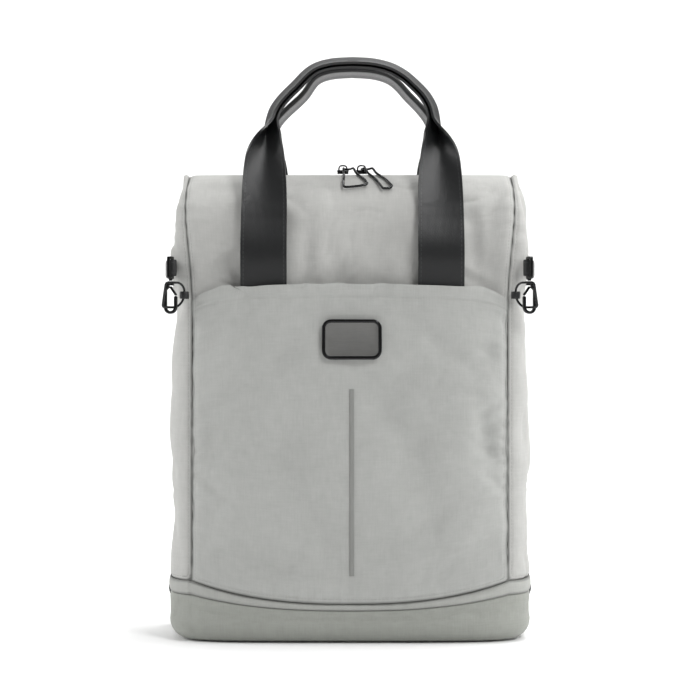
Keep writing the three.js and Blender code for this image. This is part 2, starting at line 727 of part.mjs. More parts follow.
// A zip slider with its bail, an arch across its top. X runs along the zip.
function slider() {
  const body = new THREE.BoxGeometry(sliderLength, sliderWidth, sliderHeight);
  body.translate(0, 0, sliderHeight / 2);
  const half = sliderLength / 2 - pullWire;
  const arch = [
    vec(-half, 0, sliderHeight - pullWire / 2),
    vec(-half * 0.9, 0, sliderHeight + bailRise * 0.55),
    vec(-half * 0.45, 0, sliderHeight + bailRise * 0.85),
    vec(half * 0.45, 0, sliderHeight + bailRise * 0.85),
    vec(half * 0.9, 0, sliderHeight + bailRise * 0.55),
    vec(half, 0, sliderHeight - pullWire / 2),
  ];
  return joined(body, wire(arch, pullWire * 0.42, 6, false));
}

// A D-shaped ring: the middle of its bow at the origin and its straight bar towards -X, along Z.
function sideRing() {
  const half = ringWidth / 2;
  const deep = ringReach * 0.46;
  const bow = steps(-90, 90, 7).map((angle) => {
    const [c, d] = [Math.cos(degToRad(angle)), Math.sin(degToRad(angle))];
    return vec(-deep * (1 - c), 0, half * d);
  });
  const square = [vec(-ringReach, 0, half), vec(-ringReach, 0, -half)];
  const bend = (corner, other) => corner.clone().add(other.clone().sub(corner).setLength(2.2));
  const ends = [vec(-deep, 0, half), ...square, vec(-deep, 0, -half)];
  const bar = [bend(ends[1], ends[0]), bend(ends[1], ends[2]), bend(ends[2], ends[1]), bend(ends[2], ends[3])];
  return wire([...bow, ...bar], ringWire / 2, 6, true);
}

// A loop of webbing round a bar, as a ring in plan with a given height.
function webbingLoop(opening, height) {
  const outline = new THREE.Shape().absarc(0, 0, opening + narrowThickness, 0, Math.PI * 2);
  outline.holes.push(new THREE.Path().absarc(0, 0, opening, 0, Math.PI * 2, true));
  return plate(outline, height, 6);
}

// The ring's webbing tab: a loop round the ring's bar and a doubled leg that reaches back to the bag.
function ringTab() {
  const opening = ringWire / 2 + clearance + 0.9;
  const leg = ringStandOff - clearance - opening - 0.3;
  const box = new THREE.BoxGeometry(2 * narrowThickness, leg, tabWidth);
  box.translate(0, opening + leg / 2, 0);
  return joined(webbingLoop(opening, tabWidth), box);
}

// The snap hook's body: a spine, a round bow and a nose towards +X, cast in one with the swivel's head.
const bowRadius = hookWidth / 2;
const gatePivot = { x: 0.4, z: -5.2 };
const noseTop = -hookLength + bowRadius + 9;

function hookBody() {
  const inside = bowRadius - hookBar;
  const centre = -hookLength + bowRadius;
  const outline = new THREE.Shape();
  outline.moveTo(-2, 0);
  outline.lineTo(-bowRadius + 0.8, -2.6);
  outline.lineTo(-bowRadius, -7);
  outline.lineTo(-bowRadius, centre);
  outline.absarc(0, centre, bowRadius, Math.PI, Math.PI * 2);
  outline.lineTo(bowRadius, noseTop - 1);
  outline.lineTo(bowRadius - 0.9, noseTop);
  outline.lineTo(inside, noseTop - 0.7);
  outline.lineTo(inside, centre);
  outline.absarc(0, centre, inside, 0, -Math.PI, true);
  outline.lineTo(-inside, -7.4);
  outline.lineTo(gatePivot.x - gateBar / 2 - clearance - 0.3, -5.6);
  outline.lineTo(gatePivot.x - gateBar / 2 - clearance - 0.3, gatePivot.z + gateBar / 2 + clearance + 0.3);
  outline.lineTo(3, gatePivot.z + gateBar / 2 + clearance + 0.3);
  outline.lineTo(2.4, -1.6);
  outline.lineTo(2, 0);
  outline.closePath();
  return plate(outline, hookThickness, 5).rotateX(Math.PI / 2);
}

// The gate: a bar from its pivot beside the spine to the inside of the nose.
function hookGate() {
  const tip = { x: bowRadius - hookBar / 2, z: noseTop + clearance + gateBar / 2 };
  const [dx, dz] = [tip.x - gatePivot.x, tip.z - gatePivot.z];
  const shape = roundedRectangle(Math.hypot(dx, dz) + gateBar, gateBar, gateBar * 0.45);
  const bar = plate(shape, hookThickness - 0.8, 2).rotateX(Math.PI / 2).rotateY(-Math.atan2(dz, dx));
  return bar.translate((gatePivot.x + tip.x) / 2, 0, (gatePivot.z + tip.z) / 2);
}

// The swivel's eye: a rectangular frame on a short stem, in the plane of Y and Z.
function hookEye() {
  const shape = roundedRectangle(eyeDepth, eyeHeight, 1.6);
  shape.holes.push(roundedRectangle(eyeDepth - 2 * eyeBar, eyeHeight - 2 * eyeBar, 0.6, THREE.Path));
  const frame = plate(shape, eyeBar, 2).rotateX(Math.PI / 2).rotateZ(Math.PI / 2);
  frame.translate(0, 0, eyeHeight / 2 + stemHeight);
  const stem = new THREE.CylinderGeometry(1.6, 1.6, stemHeight, 8).rotateX(Math.PI / 2);
  return joined(frame, stem.translate(0, 0, clearance + stemHeight / 2));
}

// The middle of the left ring's bow, at the corner of the bag beside the pocket.
const ringPlace = () => besideBody(-0.012, levelAt(ringHeight), ringStandOff).setZ(ringHeight);

// The foot of the left hook's swivel. The hook hangs on the ring, so it follows the ring's place.
const hookPlace = () => ringPlace().add(vec(-hookOutward, -hookForward, hookAbove));

// The turned frame that the hook's pieces share.
function onHook(geometry) {
  const place = hookPlace();
  return geometry.rotateZ(degToRad(-hookTurn)).translate(place.x, place.y, place.z);
}

// The short strap on the left side: a loop round the eye's rear bar, then back along the side to its seam.
function sideStrap() {
  const foot = hookPlace();
  const height = foot.z + stemHeight + eyeHeight / 2;
  const bar = (eyeDepth - eyeBar) / 2;
  const opening = eyeBar * 0.72 + clearance;
  const turn = degToRad(hookTurn);
  const centre = vec(foot.x + bar * Math.sin(turn), foot.y + bar * Math.cos(turn), 0);
  const start = centre.clone().add(vec(0, opening + narrowThickness / 2, 0));
  const gap = clearance + 0.3 + narrowThickness / 2;
  const along = [3.8, 3.62, 3.45, 3.3, 3.2, 3.14, 3.09, 3.05, 3.02].map((at) => {
    const reaches = [-1, 0, 1].map((edge) => {
      const level = levelAt(height + (edge * narrowWidth) / 2);
      return bodyPoint(at, level, true);
    });
    const out = bodyNormal(at, levelAt(height)).setZ(0).normalize();
    const furthest = reaches.reduce((far, point) => (point.dot(out) > far.dot(out) ? point : far));
    return furthest.clone().setZ(0).addScaledVector(out, gap);
  });
  const line = [start, ...along];
  const places = line.map((point, k) => {
    const run = line[Math.min(k + 1, line.length - 1)].clone().sub(line[Math.max(k - 1, 0)]).normalize();
    return { at: point, out: vec(-run.y, run.x, 0) };
  });
  const strip = webbing(places, narrowWidth, narrowThickness);
  const loop = webbingLoop(opening, narrowWidth).translate(centre.x, centre.y, 0);
  return joined(strip, loop).translate(0, 0, height);
}

// The ring and its tab on the left side.
function onCorner(geometry, turn) {
  const place = ringPlace();
  return geometry.rotateZ(turn).translate(place.x, place.y, place.z);
}

function cornerTurn() {
  const out = bodyNormal(-0.012, levelAt(ringHeight));
  return Math.atan2(out.x, -out.y);
}

// The same geometry on the other side of the bag.
function mirrored(geometry) {
  const bare = geometry.index ? geometry.toNonIndexed() : geometry.clone();
  const positions = bare.getAttribute("position");
  const points = [];
  for (let k = 0; k < positions.count; k += 1) {
    points.push(vec(-positions.getX(k), positions.getY(k), positions.getZ(k)));
  }
  const faces = steps(0, points.length / 3 - 1, points.length / 3 - 1).map((k) => {
    const first = 3 * Math.round(k);
    return [first, first + 1, first + 2];
  });
  return facingOut(points, faces);
}

// The middle of the left shoulder pad at a level from 0, its top, to 1.
function padMiddle(level) {
  const height = padTop - padDrop * sample(padLine, "down", level);
  const x = (-sample(padLine, "out", level) * bodyWidth) / 2;
  const onBack = facePoint(x, height, 1) + clearance + padThickness * 0.2;
  return vec(x, onBack + padStandOff * sample(padLine, "away", level), height);
}

// The directions along, across and out of the pad at a level.
function padFrame(level) {
  const run = padMiddle(Math.min(level + 0.02, 1)).sub(padMiddle(Math.max(level - 0.02, 0))).normalize();
  const sideways = vec(0, 1, 0).cross(run).normalize();
  return { run, sideways, out: run.clone().cross(sideways).normalize() };
}

// The left shoulder pad, a flattened tube down the back.
function shoulderPad() {
  const rings = steps(0, 1, 14).map((level) => {
    const { sideways, out } = padFrame(level);
    const halfWidth = (padWidth * sample(padLine, "broad", level)) / 2;
    const halfThickness = (padThickness * sample(padLine, "thick", level)) / 2;
    return steps(0, 360, 10)
      .slice(0, -1)
      .map((angle) => {
        const [c, d] = [Math.cos(degToRad(angle)), Math.sin(degToRad(angle))];
        const across = Math.sign(c) * Math.abs(c) ** 0.6 * halfWidth;
        const lift = Math.sign(d) * Math.abs(d) ** 0.8 * halfThickness;
        return padMiddle(level).addScaledVector(sideways, across).addScaledVector(out, lift);
      });
  });
  return tubeSolid(rings, false);
}

// The ladder-lock buckle below the pad: a plate with two slots.
function padBuckle() {
  const shape = roundedRectangle(buckleWidth, buckleLength, 2.5);
  const slot = (buckleLength - 3 * buckleBar) / 2;
  for (const side of [-1, 1]) {
    const hole = roundedRectangle(buckleWidth - 2 * buckleBar, slot, 0.8, THREE.Path);
    shape.holes.push(new THREE.Path(hole.getPoints(2).map((p) => p.add({ x: 0, y: (side * (slot + buckleBar)) / 2 }))));
  }
  const { run, sideways, out } = padFrame(1);
  const centre = padMiddle(1).addScaledVector(run, buckleLength / 2 + clearance);
  const basis = new THREE.Matrix4().makeBasis(sideways, run, sideways.clone().cross(run)).setPosition(centre);
  return plate(shape, buckleThickness, 2).applyMatrix4(basis);
}

// The left strap's tail: from over the buckle down to the loop at the bag's lower corner.
function strapTail() {
  const { run, out } = padFrame(1);
  const end = padMiddle(1);
  const lift = buckleThickness / 2 + clearance + narrowThickness / 2;
  const over = (share) => end.clone().addScaledVector(run, buckleLength * share).addScaledVector(out, lift);
  const above = loopHeight + loopRise / 2;
  const corner = besideBody(loopTurn + 0.06, levelAt(above + tailBend), clearance + tailStandOff);
  const foot = besideBody(loopTurn + 0.06, levelAt(above + tailFoot), clearance + tailRest);
  const line = new THREE.CatmullRomCurve3([over(0.45), over(0.8), over(1.15), corner, foot]).getPoints(10);
  return webbing(line.map((at) => ({ at, out })), tailWidth, narrowThickness);
}

const loopTurn = 2.9;

// The left webbing loop at the bag's lower corner, a bow that stands out from the base.
function lowerLoop() {
  const middle = besideBody(3.1, levelAt(loopHeight), clearance + narrowThickness / 2);
  const away = bodyNormal(3.1, levelAt(loopHeight)).setZ(0).normalize();
  const places = steps(-90, 90, 8).map((angle) => {
    const [c, d] = [Math.cos(degToRad(angle)), Math.sin(degToRad(angle))];
    const at = middle.clone().addScaledVector(away, loopReach * c ** 0.7);
    at.z += (d * loopRise) / 2;
    return { at, out: away.clone().multiplyScalar(c).add(vec(0, 0, d)) };
  });
  return webbing(places, loopWidth, narrowThickness);
}

// The drape of the zip pulls: over the ridge's edge and down the front.
function drape() {
  const gap = pullWire / 2 + clearance + 0.2;
  const down = steps(0.995, 0.86, 8).map((level) => besideBody(0.5, level, gap));
  const edge = zipLine() - sliderWidth / 2 - pullWire;
  const over = [vec(0, zipLine(), pullRest), vec(0, edge, pullRest), vec(0, edge - 2.5, bodyHeight + gap + 1.6)];
  return new THREE.CatmullRomCurve3([...over, ...down]);
}

const zipLine = () => (besideBody(0.5, 1, -clothThickness).y + besideBody(2.5, 1, -clothThickness).y) / 2;
const sliderFoot = zipHeight + coilHeight + clearance;
const pullRest = sliderFoot + sliderHeight + pullWire / 2 + clearance;

// A wire pull round one leg of its slider's bail.
function zipPull(row) {
  const curve = drape();
  const length = curve.getLength();
  const lean = degToRad(row.lean);
  const place = row.place * sliderLength;
  const [head, foot, reach] = [pullThroat / 2, (row.width * sliderLength) / 2, row.length * sliderLength];
  const corners = [vec(-head, -pullTail, 0), vec(head, -pullTail, 0), vec(foot, reach, 0), vec(-foot, reach, 0)];
  const points = roundedLoop(corners, pullBend, 2, 5).map((corner) => {
    const along = corner.y * Math.cos(lean) - corner.x * Math.sin(lean);
    const across = corner.y * Math.sin(lean) + corner.x * Math.cos(lean);
    const at = curve.getPointAt(clamp(along / length, 0, 1));
    return vec(place + bailLeg + across, at.y - Math.min(along, 0), at.z);
  });
  return wire(points, pullWire / 2, 6, true);
}

const bailLeg = sliderLength / 2 - pullWire;

const colours = {
  cloth: { color: 0xb4b4b2, roughness: 0.85, metalness: 0 },
  clothDeep: { color: 0xa6a7a4, roughness: 0.85, metalness: 0 },
  webbing: { color: 0x2c2d2e, roughness: 0.5, metalness: 0 },
  stripe: { color: 0x868785, roughness: 0.6, metalness: 0 },
  metal: { color: 0x1b1c1d, roughness: 0.25, metalness: 0.9 },
  plate: { color: 0x757573, roughness: 0.35, metalness: 0.8 },
  zip: { color: 0x3a3b3c, roughness: 0.7, metalness: 0 },
  plastic: { color: 0x202122, roughness: 0.45, metalness: 0 },
};

function piece(name, geometry, finish) {
  const mesh = new THREE.Mesh(geometry, new THREE.MeshStandardMaterial(colours[finish]));
  mesh.name = name;
  return mesh;
}

const bag = new THREE.Group();
const add = (name, geometry, finish) => bag.add(piece(name, geometry, finish));
add("base", basePanel(), "cloth");
add("seam_band", bandPanel(), "clothDeep");
add("front_panel", widePanel(0, 12), "cloth");
add("right_gusset", sidePanel(1, 10), "cloth");
add("back_panel", widePanel(2, 8), "cloth");
add("left_gusset", sidePanel(3, 10), "cloth");
add("front_pocket", pocketPanel(), "cloth");
add("centre_stripe", stripePanel(), "stripe");
add("front_handle", handle(-1), "webbing");
add("back_handle", handle(1), "webbing");
add("top_zip", zipStrip(), "zip");

const surface = (share, height) => pocketPoint(share, pocketUp(height), 0);
const badgeShares = [-0.5, 0, 0.5].map((part) => pocketShare(badgeOffset + part * badgeWidth));
const nearest = (height) => Math.min(...badgeShares.map((share) => surface(share, height).y));
const badgeEnds = [badgeCentre - badgeHeight / 2, badgeCentre + badgeHeight / 2].map(nearest);
const badgeLean = Math.atan2(badgeEnds[1] - badgeEnds[0], badgeHeight);
const badgeAt = Math.min(nearest(badgeCentre), (badgeEnds[0] + badgeEnds[1]) / 2) - 2 * clearance;
for (const [name, geometry, finish, lift] of [
  ["badge_frame", badgeFrame(), "metal", badgeDepth / 2],
  ["badge_plate", badgePlate(), "plate", badgeDepth / 4],
]) {
  geometry.rotateX(Math.PI / 2 - badgeLean).translate(badgeOffset, badgeAt - lift, badgeCentre);
  add(name, geometry, finish);
}

for (const row of sliders) {
  add(`${row.side}_zip_slider`, slider().translate(row.place * sliderLength, zipLine(), sliderFoot), "metal");
  add(`${row.side}_zip_pull`, zipPull(row), "metal");
}

const sideParts = [
  ["ring", onCorner(sideRing().rotateX(degToRad(ringRoll)), degToRad(ringTurn)), "metal"],
  ["ring_tab", onCorner(ringTab(), cornerTurn()), "webbing"],
  ["snap_hook", onHook(hookBody()), "metal"],
  ["hook_gate", onHook(hookGate()), "metal"],
  ["hook_eye", onHook(hookEye()), "metal"],
  ["side_strap", sideStrap(), "webbing"],
  ["lower_loop", lowerLoop(), "webbing"],
  ["shoulder_pad", shoulderPad(), "clothDeep"],
  ["strap_buckle", padBuckle(), "plastic"],
  ["strap_tail", strapTail(), "webbing"],
];
for (const [name, geometry, finish] of sideParts) {
  add(`left_${name}`, geometry, finish);
  add(`right_${name}`, mirrored(geometry), finish);
}

export default bag;
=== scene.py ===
"""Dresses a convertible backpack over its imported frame.

The bag is a soft tote in pale nylon with two webbing handles, a slip pocket, a curved band above its base, a
snap hook on a ring at each side, and padded shoulder straps on its back. Lengths are millimetres until a mesh
is made, X runs to the right as the front is seen, the front faces -Y, and Z is up from the floor.
"""

from __future__ import annotations

import logging
import math
from dataclasses import dataclass, field, fields
from enum import Enum
from typing import Callable, Iterable, Sequence

import bpy  # noqa: E402
import numpy as np  # noqa: E402
from mathutils import Matrix, Vector  # noqa: E402

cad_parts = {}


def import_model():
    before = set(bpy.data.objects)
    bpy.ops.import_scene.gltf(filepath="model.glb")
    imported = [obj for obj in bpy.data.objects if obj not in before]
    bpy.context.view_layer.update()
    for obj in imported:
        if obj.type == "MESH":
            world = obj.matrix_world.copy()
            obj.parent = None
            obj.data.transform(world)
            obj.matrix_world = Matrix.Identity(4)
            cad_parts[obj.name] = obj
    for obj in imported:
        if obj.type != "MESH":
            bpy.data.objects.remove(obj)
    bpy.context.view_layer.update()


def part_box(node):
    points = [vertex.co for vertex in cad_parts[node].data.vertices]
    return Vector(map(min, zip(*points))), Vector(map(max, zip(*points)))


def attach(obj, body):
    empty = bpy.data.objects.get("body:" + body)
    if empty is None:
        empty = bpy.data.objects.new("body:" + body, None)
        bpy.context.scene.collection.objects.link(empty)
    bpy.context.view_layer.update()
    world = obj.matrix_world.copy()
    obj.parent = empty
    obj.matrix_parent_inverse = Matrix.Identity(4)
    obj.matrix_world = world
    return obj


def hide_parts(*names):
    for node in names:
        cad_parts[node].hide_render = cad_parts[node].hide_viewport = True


MM = 0.001
WEAVE_PITCH = 0.0011
STITCH_HALF_BREADTH = 0.00034
Colour = tuple[float, float, float, float]
Grid = np.ndarray
Piece = bpy.types.Object
Finish = tuple[bpy.types.Material, str]

log = logging.getLogger("backpack")


def srgb(red: int, green: int, blue: int) -> Colour:
    """Turns a display colour into the linear one that a shader takes.

    Args:
        red: The red part, from 0 to 255.
        green: The green part, from 0 to 255.
        blue: The blue part, from 0 to 255.

    Returns:
        The linear colour with full alpha.
    """
    parts = [value / 255 for value in (red, green, blue)]
    linear = [v / 12.92 if v <= 0.04045 else ((v + 0.055) / 1.055) ** 2.4 for v in parts]
    return (linear[0], linear[1], linear[2], 1.0)


def smooth(value: Grid | float, low: float, high: float) -> Grid:
    """Rises smoothly from 0 at low to 1 at high.

    Args:
        value: The numbers to map.
        low: Where the rise begins.
        high: Where the rise ends.

    Returns:
        The shares between 0 and 1.
    """
    part = np.clip((np.asarray(value, float) - low) / (high - low), 0.0, 1.0)
    return part * part * (3.0 - 2.0 * part)


def blend(first: Grid | float, second: Grid | float, share: Grid | float) -> Grid:
    """Returns the value at a share of the way from the first number to the second."""
    return first + (np.asarray(second) - first) * share


def unit(vectors: Grid) -> Grid:
    """Returns the vectors at length 1."""
    return vectors / np.maximum(np.linalg.norm(vectors, axis=-1, keepdims=True), 1e-12)


def hump(away: Grid | float, reach: float) -> Grid:
    """Returns 1 where away is 0, falling off on both sides over a reach."""
    return np.exp(-((away / reach) ** 2))


def run_of(line: Grid) -> Grid:
    """Returns how far along a line each of its points lies."""
    return np.concatenate(([0.0], np.cumsum(np.linalg.norm(np.diff(line, axis=0), axis=1))))


class Side(Enum):
    """The two sides of the bag, as its front is seen."""

    LEFT = "left"
    RIGHT = "right"

    def named(self, piece: str) -> str:
        """Returns the name of this side's copy of a piece."""
        return f"{self.value}_{piece}"


class Face(Enum):
    """The faces whose cloth has folds of its own."""

    FRONT = 0
    RIGHT = 1
    BACK = 2
    LEFT = 3
    POCKET = 4


class Value:
    """A shader socket that takes part in arithmetic."""

    def __init__(self, shader: Shader, socket: bpy.types.NodeSocket) -> None:
        """Keeps the socket and the shader that it belongs to."""
        self.shader = shader
        self.socket = socket

    def __add__(self, other: Value | float) -> Value:
        """Returns the sum."""
        return self.shader.maths("ADD", self, other)

    __radd__ = __add__

    def __sub__(self, other: Value | float) -> Value:
        """Returns the difference."""
        return self.shader.maths("SUBTRACT", self, other)

    def __rsub__(self, other: Value | float) -> Value:
        """Returns the difference with this value taken away."""
        return self.shader.maths("SUBTRACT", other, self)

    def __mul__(self, other: Value | float) -> Value:
        """Returns the product."""
        return self.shader.maths("MULTIPLY", self, other)

    __rmul__ = __mul__

    def __lt__(self, other: Value | float) -> Value:
        """Returns 1 where this value is the smaller one."""
        return self.shader.maths("LESS_THAN", self, other)

    def __gt__(self, other: Value | float) -> Value:
        """Returns 1 where this value is the larger one."""
        return self.shader.maths("GREATER_THAN", self, other)

    def __abs__(self) -> Value:
        """Returns the value without its sign."""
        return self.shader.maths("ABSOLUTE", self)


class Shader:
    """A material's node tree round one Principled surface."""

    def __init__(self, name: str, **constants: float | Colour) -> None:
        """Makes the material and sets the surface's constant sockets.

        Args:
            name: The material's name.
            **constants: Values of the surface's sockets, with underscores for spaces.
        """
        self.material = bpy.data.materials.new(name)
        self.material.use_nodes = True
        self.tree = self.material.node_tree
        self.surface = self.tree.nodes["Principled BSDF"]
        for key, value in constants.items():
            self.surface.inputs[key.replace("_", " ")].default_value = value

    def node(
        self,
        kind: str,
        settings: dict[str, object] | None = None,
        inputs: dict[int | str, object] | None = None,
        out: int | str = 0,
    ) -> Value:
        """Adds any node.

        Args:
            kind: The node's type, without its "ShaderNode" prefix.
            settings: The node's own settings, set first. "stops" holds a ramp's places and colours.
            inputs: The values or links of its sockets.
            out: The output that is returned.

        Returns:
            The node's output.
        """
        made = self.tree.nodes.new(f"ShaderNode{kind}")
        for key, value in (settings or {}).items():
            if key == "stops":
                for element, (place, colour) in zip(made.color_ramp.elements, value):
                    element.position, element.color = place, colour
            else:
                setattr(made, key, value)
        for key, value in (inputs or {}).items():
            if isinstance(value, Value):
                self.tree.links.new(value.socket, made.inputs[key])
            else:
                made.inputs[key].default_value = value
        return Value(self, made.outputs[out])

    def maths(self, operation: str, *values: Value | float) -> Value:
        """Adds a Math node and returns its result."""
        return self.node("Math", {"operation": operation}, dict(enumerate(values)))

    def mix(self, share: Value | float, first: Colour | Value, second: Colour | Value) -> Value:
        """Mixes two colours by a share of the second and returns the result."""
        return self.node("Mix", {"data_type": "RGBA"}, {0: share, 6: first, 7: second}, 2)

    def noise(self, place: Value, scale: float, detail: float = 2.0, rough: float = 0.5) -> Value:
        """Returns smooth noise from 0 to 1 at a scale in cells per metre."""
        inputs = {"Vector": place, "Scale": scale, "Detail": detail, "Roughness": rough}
        return self.node("TexNoise", {}, inputs)

    def stretched(self, place: Value, scale: tuple[float, float, float]) -> Value:
        """Returns coordinates scaled apart along each axis."""
        return self.node("Mapping", {}, {"Vector": place, "Scale": scale})

    def plane(self, name: str) -> tuple[Value, Value, Value]:
        """Returns one of a piece's maps, whole and as its two parts."""
        place = self.node("UVMap", {"uv_map": name})
        split = self.node("SeparateXYZ", {}, {0: place})
        return place, split, Value(self, split.socket.node.outputs[1])

    def wave(self, along: Value, length: float) -> Value:
        """Returns a wave from 0 to 1 that repeats after a length in metres."""
        return self.maths("SINE", along * (2 * math.pi / length)) * 0.5 + 0.5

    def finish(
        self, colour: Value, roughness: Value, height: Value | None = None, relief: float = 0.0
    ) -> bpy.types.Material:
        """Links what varies over the surface.

        Args:
            colour: The base colour.
            roughness: The roughness.
            height: The relief's height, from 0 to 1, where there is one.
            relief: How high the relief stands, in metres.

        Returns:
            The finished material.
        """
        varying = {"Base Color": colour, "Roughness": roughness}
        if height is not None:
            varying["Normal"] = self.node("Bump", {}, {"Strength": 1.0, "Distance": relief, "Height": height})
        for name, value in varying.items():
            self.tree.links.new(value.socket, self.surface.inputs[name])
        return self.material


@dataclass(frozen=True)
class Nylon:
    """Matt nylon cloth with a fine weave, a crushed hand, stitches beside its seams, and shade painted into its
    colour along its sewn edges.
    """

    name: str
    colour: Colour
    shade: Colour
    stitch: float = 0.0
    roughness: float = 0.8
    thread: Colour = srgb(150, 151, 148)
    # The colour of the shade painted along the sewn edges.
    crevice: Colour = srgb(98, 99, 96)

    def material(self) -> bpy.types.Material:
        """Builds the cloth's material.

        Returns:
            The material. It reads the maps "cloth" and "seam", both in metres.
        """
        made = Shader(self.name, Sheen_Weight=0.1, Sheen_Roughness=0.5, Specular_IOR_Level=0.35)
        place, across, along = made.plane("cloth")
        weft = made.wave(across, WEAVE_PITCH)
        warp = made.wave(along, WEAVE_PITCH)
        slub = made.noise(made.stretched(place, (1.0, 0.07, 1.0)), 900.0)
        fill = made.noise(made.stretched(place, (0.07, 1.0, 1.0)), 900.0)
        crush = made.noise(place, 110.0, 4.0, 0.55)
        cloud = made.noise(place, 14.0)
        height = (weft * warp) * 0.12 + (slub + fill) * 0.14 + crush * 0.9
        mottle = crush * 0.3 + slub * 0.25 + fill * 0.2 + cloud * 0.25
        colour = made.node("ValToRGB", {"stops": [(0.34, self.shade), (0.66, self.colour)]}, {0: mottle})
        if self.stitch:
            _, inset, run = made.plane("seam")
            line = abs(inset - self.stitch * MM)
            thread = (line < STITCH_HALF_BREADTH) * (made.wave(run, 0.0032) > 0.2)
            height = height + thread * 0.6 + made.maths("MINIMUM", line * 700.0, 1.0) * 0.4
            colour = made.mix(thread * 0.45, colour, self.thread)
            # Painted shade: the colour darkens within about 2 mm of each sewn edge, standing in for the shadow in the
            # seam.
            painted_seam_shade = 1 - made.maths("MINIMUM", inset * 480.0, 1.0)
            colour = made.mix(painted_seam_shade * 0.85, colour, self.crevice)
        return made.finish(colour, cloud * 0.08 + (self.roughness - 0.04), height, 0.0003)


@dataclass(frozen=True)
class Webbing:
    """Satin webbing with ribs along its length and a row of stitches near each edge."""

    name: str
    colour: Colour
    light: Colour
    half_width: float
    rib: float = 0.95
    roughness: float = 0.36
    thread: Colour = srgb(60, 61, 62)

    def material(self) -> bpy.types.Material:
        """Builds the webbing's material.

        Returns:
            The material. It reads the map "cloth", across and along in metres.
        """
        made = Shader(self.name, Specular_IOR_Level=0.5, IOR=1.5)
        place, across, along = made.plane("cloth")
        rib = made.wave(across, self.rib * MM)
        pick = made.wave(along + across * 0.6, 0.0013)
        fleck = made.noise(made.stretched(place, (1.0, 0.18, 1.0)), 1500.0)
        edge = abs(abs(across) - (self.half_width - 2.4) * MM)
        thread = (edge < STITCH_HALF_BREADTH) * (made.wave(along, 0.0036) > 0.25)
        height = rib * 0.3 + pick * 0.25 + fleck * 0.35 + thread * 0.4
        colour = made.mix(fleck * 0.6 + pick * 0.25, self.colour, self.light)
        colour = made.mix(thread * 0.5, colour, self.thread)
        return made.finish(colour, fleck * 0.12 + (self.roughness - 0.06), height, 0.00014)


@dataclass(frozen=True)
class Metal:
    """A metal with faint wear: glossy gunmetal, or a brushed plate where grain is given."""

    name: str
    colour: Colour
    light: Colour
    roughness: float
    metallic: float = 0.9
    grain: float = 0.0
    coat: float = 0.0

    def material(self) -> bpy.types.Material:
        """Builds the metal's material on Object coordinates and returns it."""
        made = Shader(self.name, Metallic=self.metallic, Coat_Weight=self.coat, Coat_Roughness=0.08)
        place = made.node("TexCoord", {}, None, "Object")
        cloud = made.noise(place, 90.0, 3.0)
        if self.grain:
            line = made.noise(made.stretched(place, (0.05, 1.0, 1.0)), self.grain, 3.0, 0.7)
            colour = made.mix(line * 0.7 + cloud * 0.3, self.colour, self.light)
            return made.finish(colour, line * 0.22 + (self.roughness - 0.1), line, 0.00006)
        wear = made.noise(place, 700.0, 3.0, 0.65)
        colour = made.mix((wear * cloud) * 0.8, self.colour, self.light)
        return made.finish(colour, wear * 0.12 + (self.roughness - 0.05), wear, 0.00004)


@dataclass(frozen=True)
class Moulded:
    """Moulded plastic with a fine grain."""

    name: str
    colour: Colour
    light: Colour
    roughness: float = 0.5

    def material(self) -> bpy.types.Material:
        """Builds the plastic's material on Object coordinates and returns it."""
        made = Shader(self.name, Specular_IOR_Level=0.5)
        place = made.node("TexCoord", {}, None, "Object")
        grain = made.noise(place, 2600.0)
        colour = made.mix(made.noise(place, 60.0), self.colour, self.light)
        return made.finish(colour, grain * 0.12 + (self.roughness - 0.06), grain, 0.00008)


@dataclass(frozen=True)
class Knit:
    """A woven or knitted tape with rows of small cells."""

    name: str
    colour: Colour
    shade: Colour
    cell: float = 3.2

    def material(self) -> bpy.types.Material:
        """Builds the tape's material on Object coordinates and returns it."""
        made = Shader(self.name, Sheen_Weight=0.2, Specular_IOR_Level=0.3)
        place = made.node("TexCoord", {}, None, "Object")
        split = made.node("SeparateXYZ", {}, {0: place})
        upward = Value(made, split.socket.node.outputs[2])
        hole = made.wave(split + upward * 0.5, self.cell * MM) * made.wave(upward - split * 0.5, self.cell * MM)
        fleck = made.noise(place, 1400.0)
        colour = made.mix(hole * 0.7 + fleck * 0.3, self.colour, self.shade)
        return made.finish(colour, fleck * 0.1 + 0.8, fleck * 0.3 + (1 - hole), 0.0003)


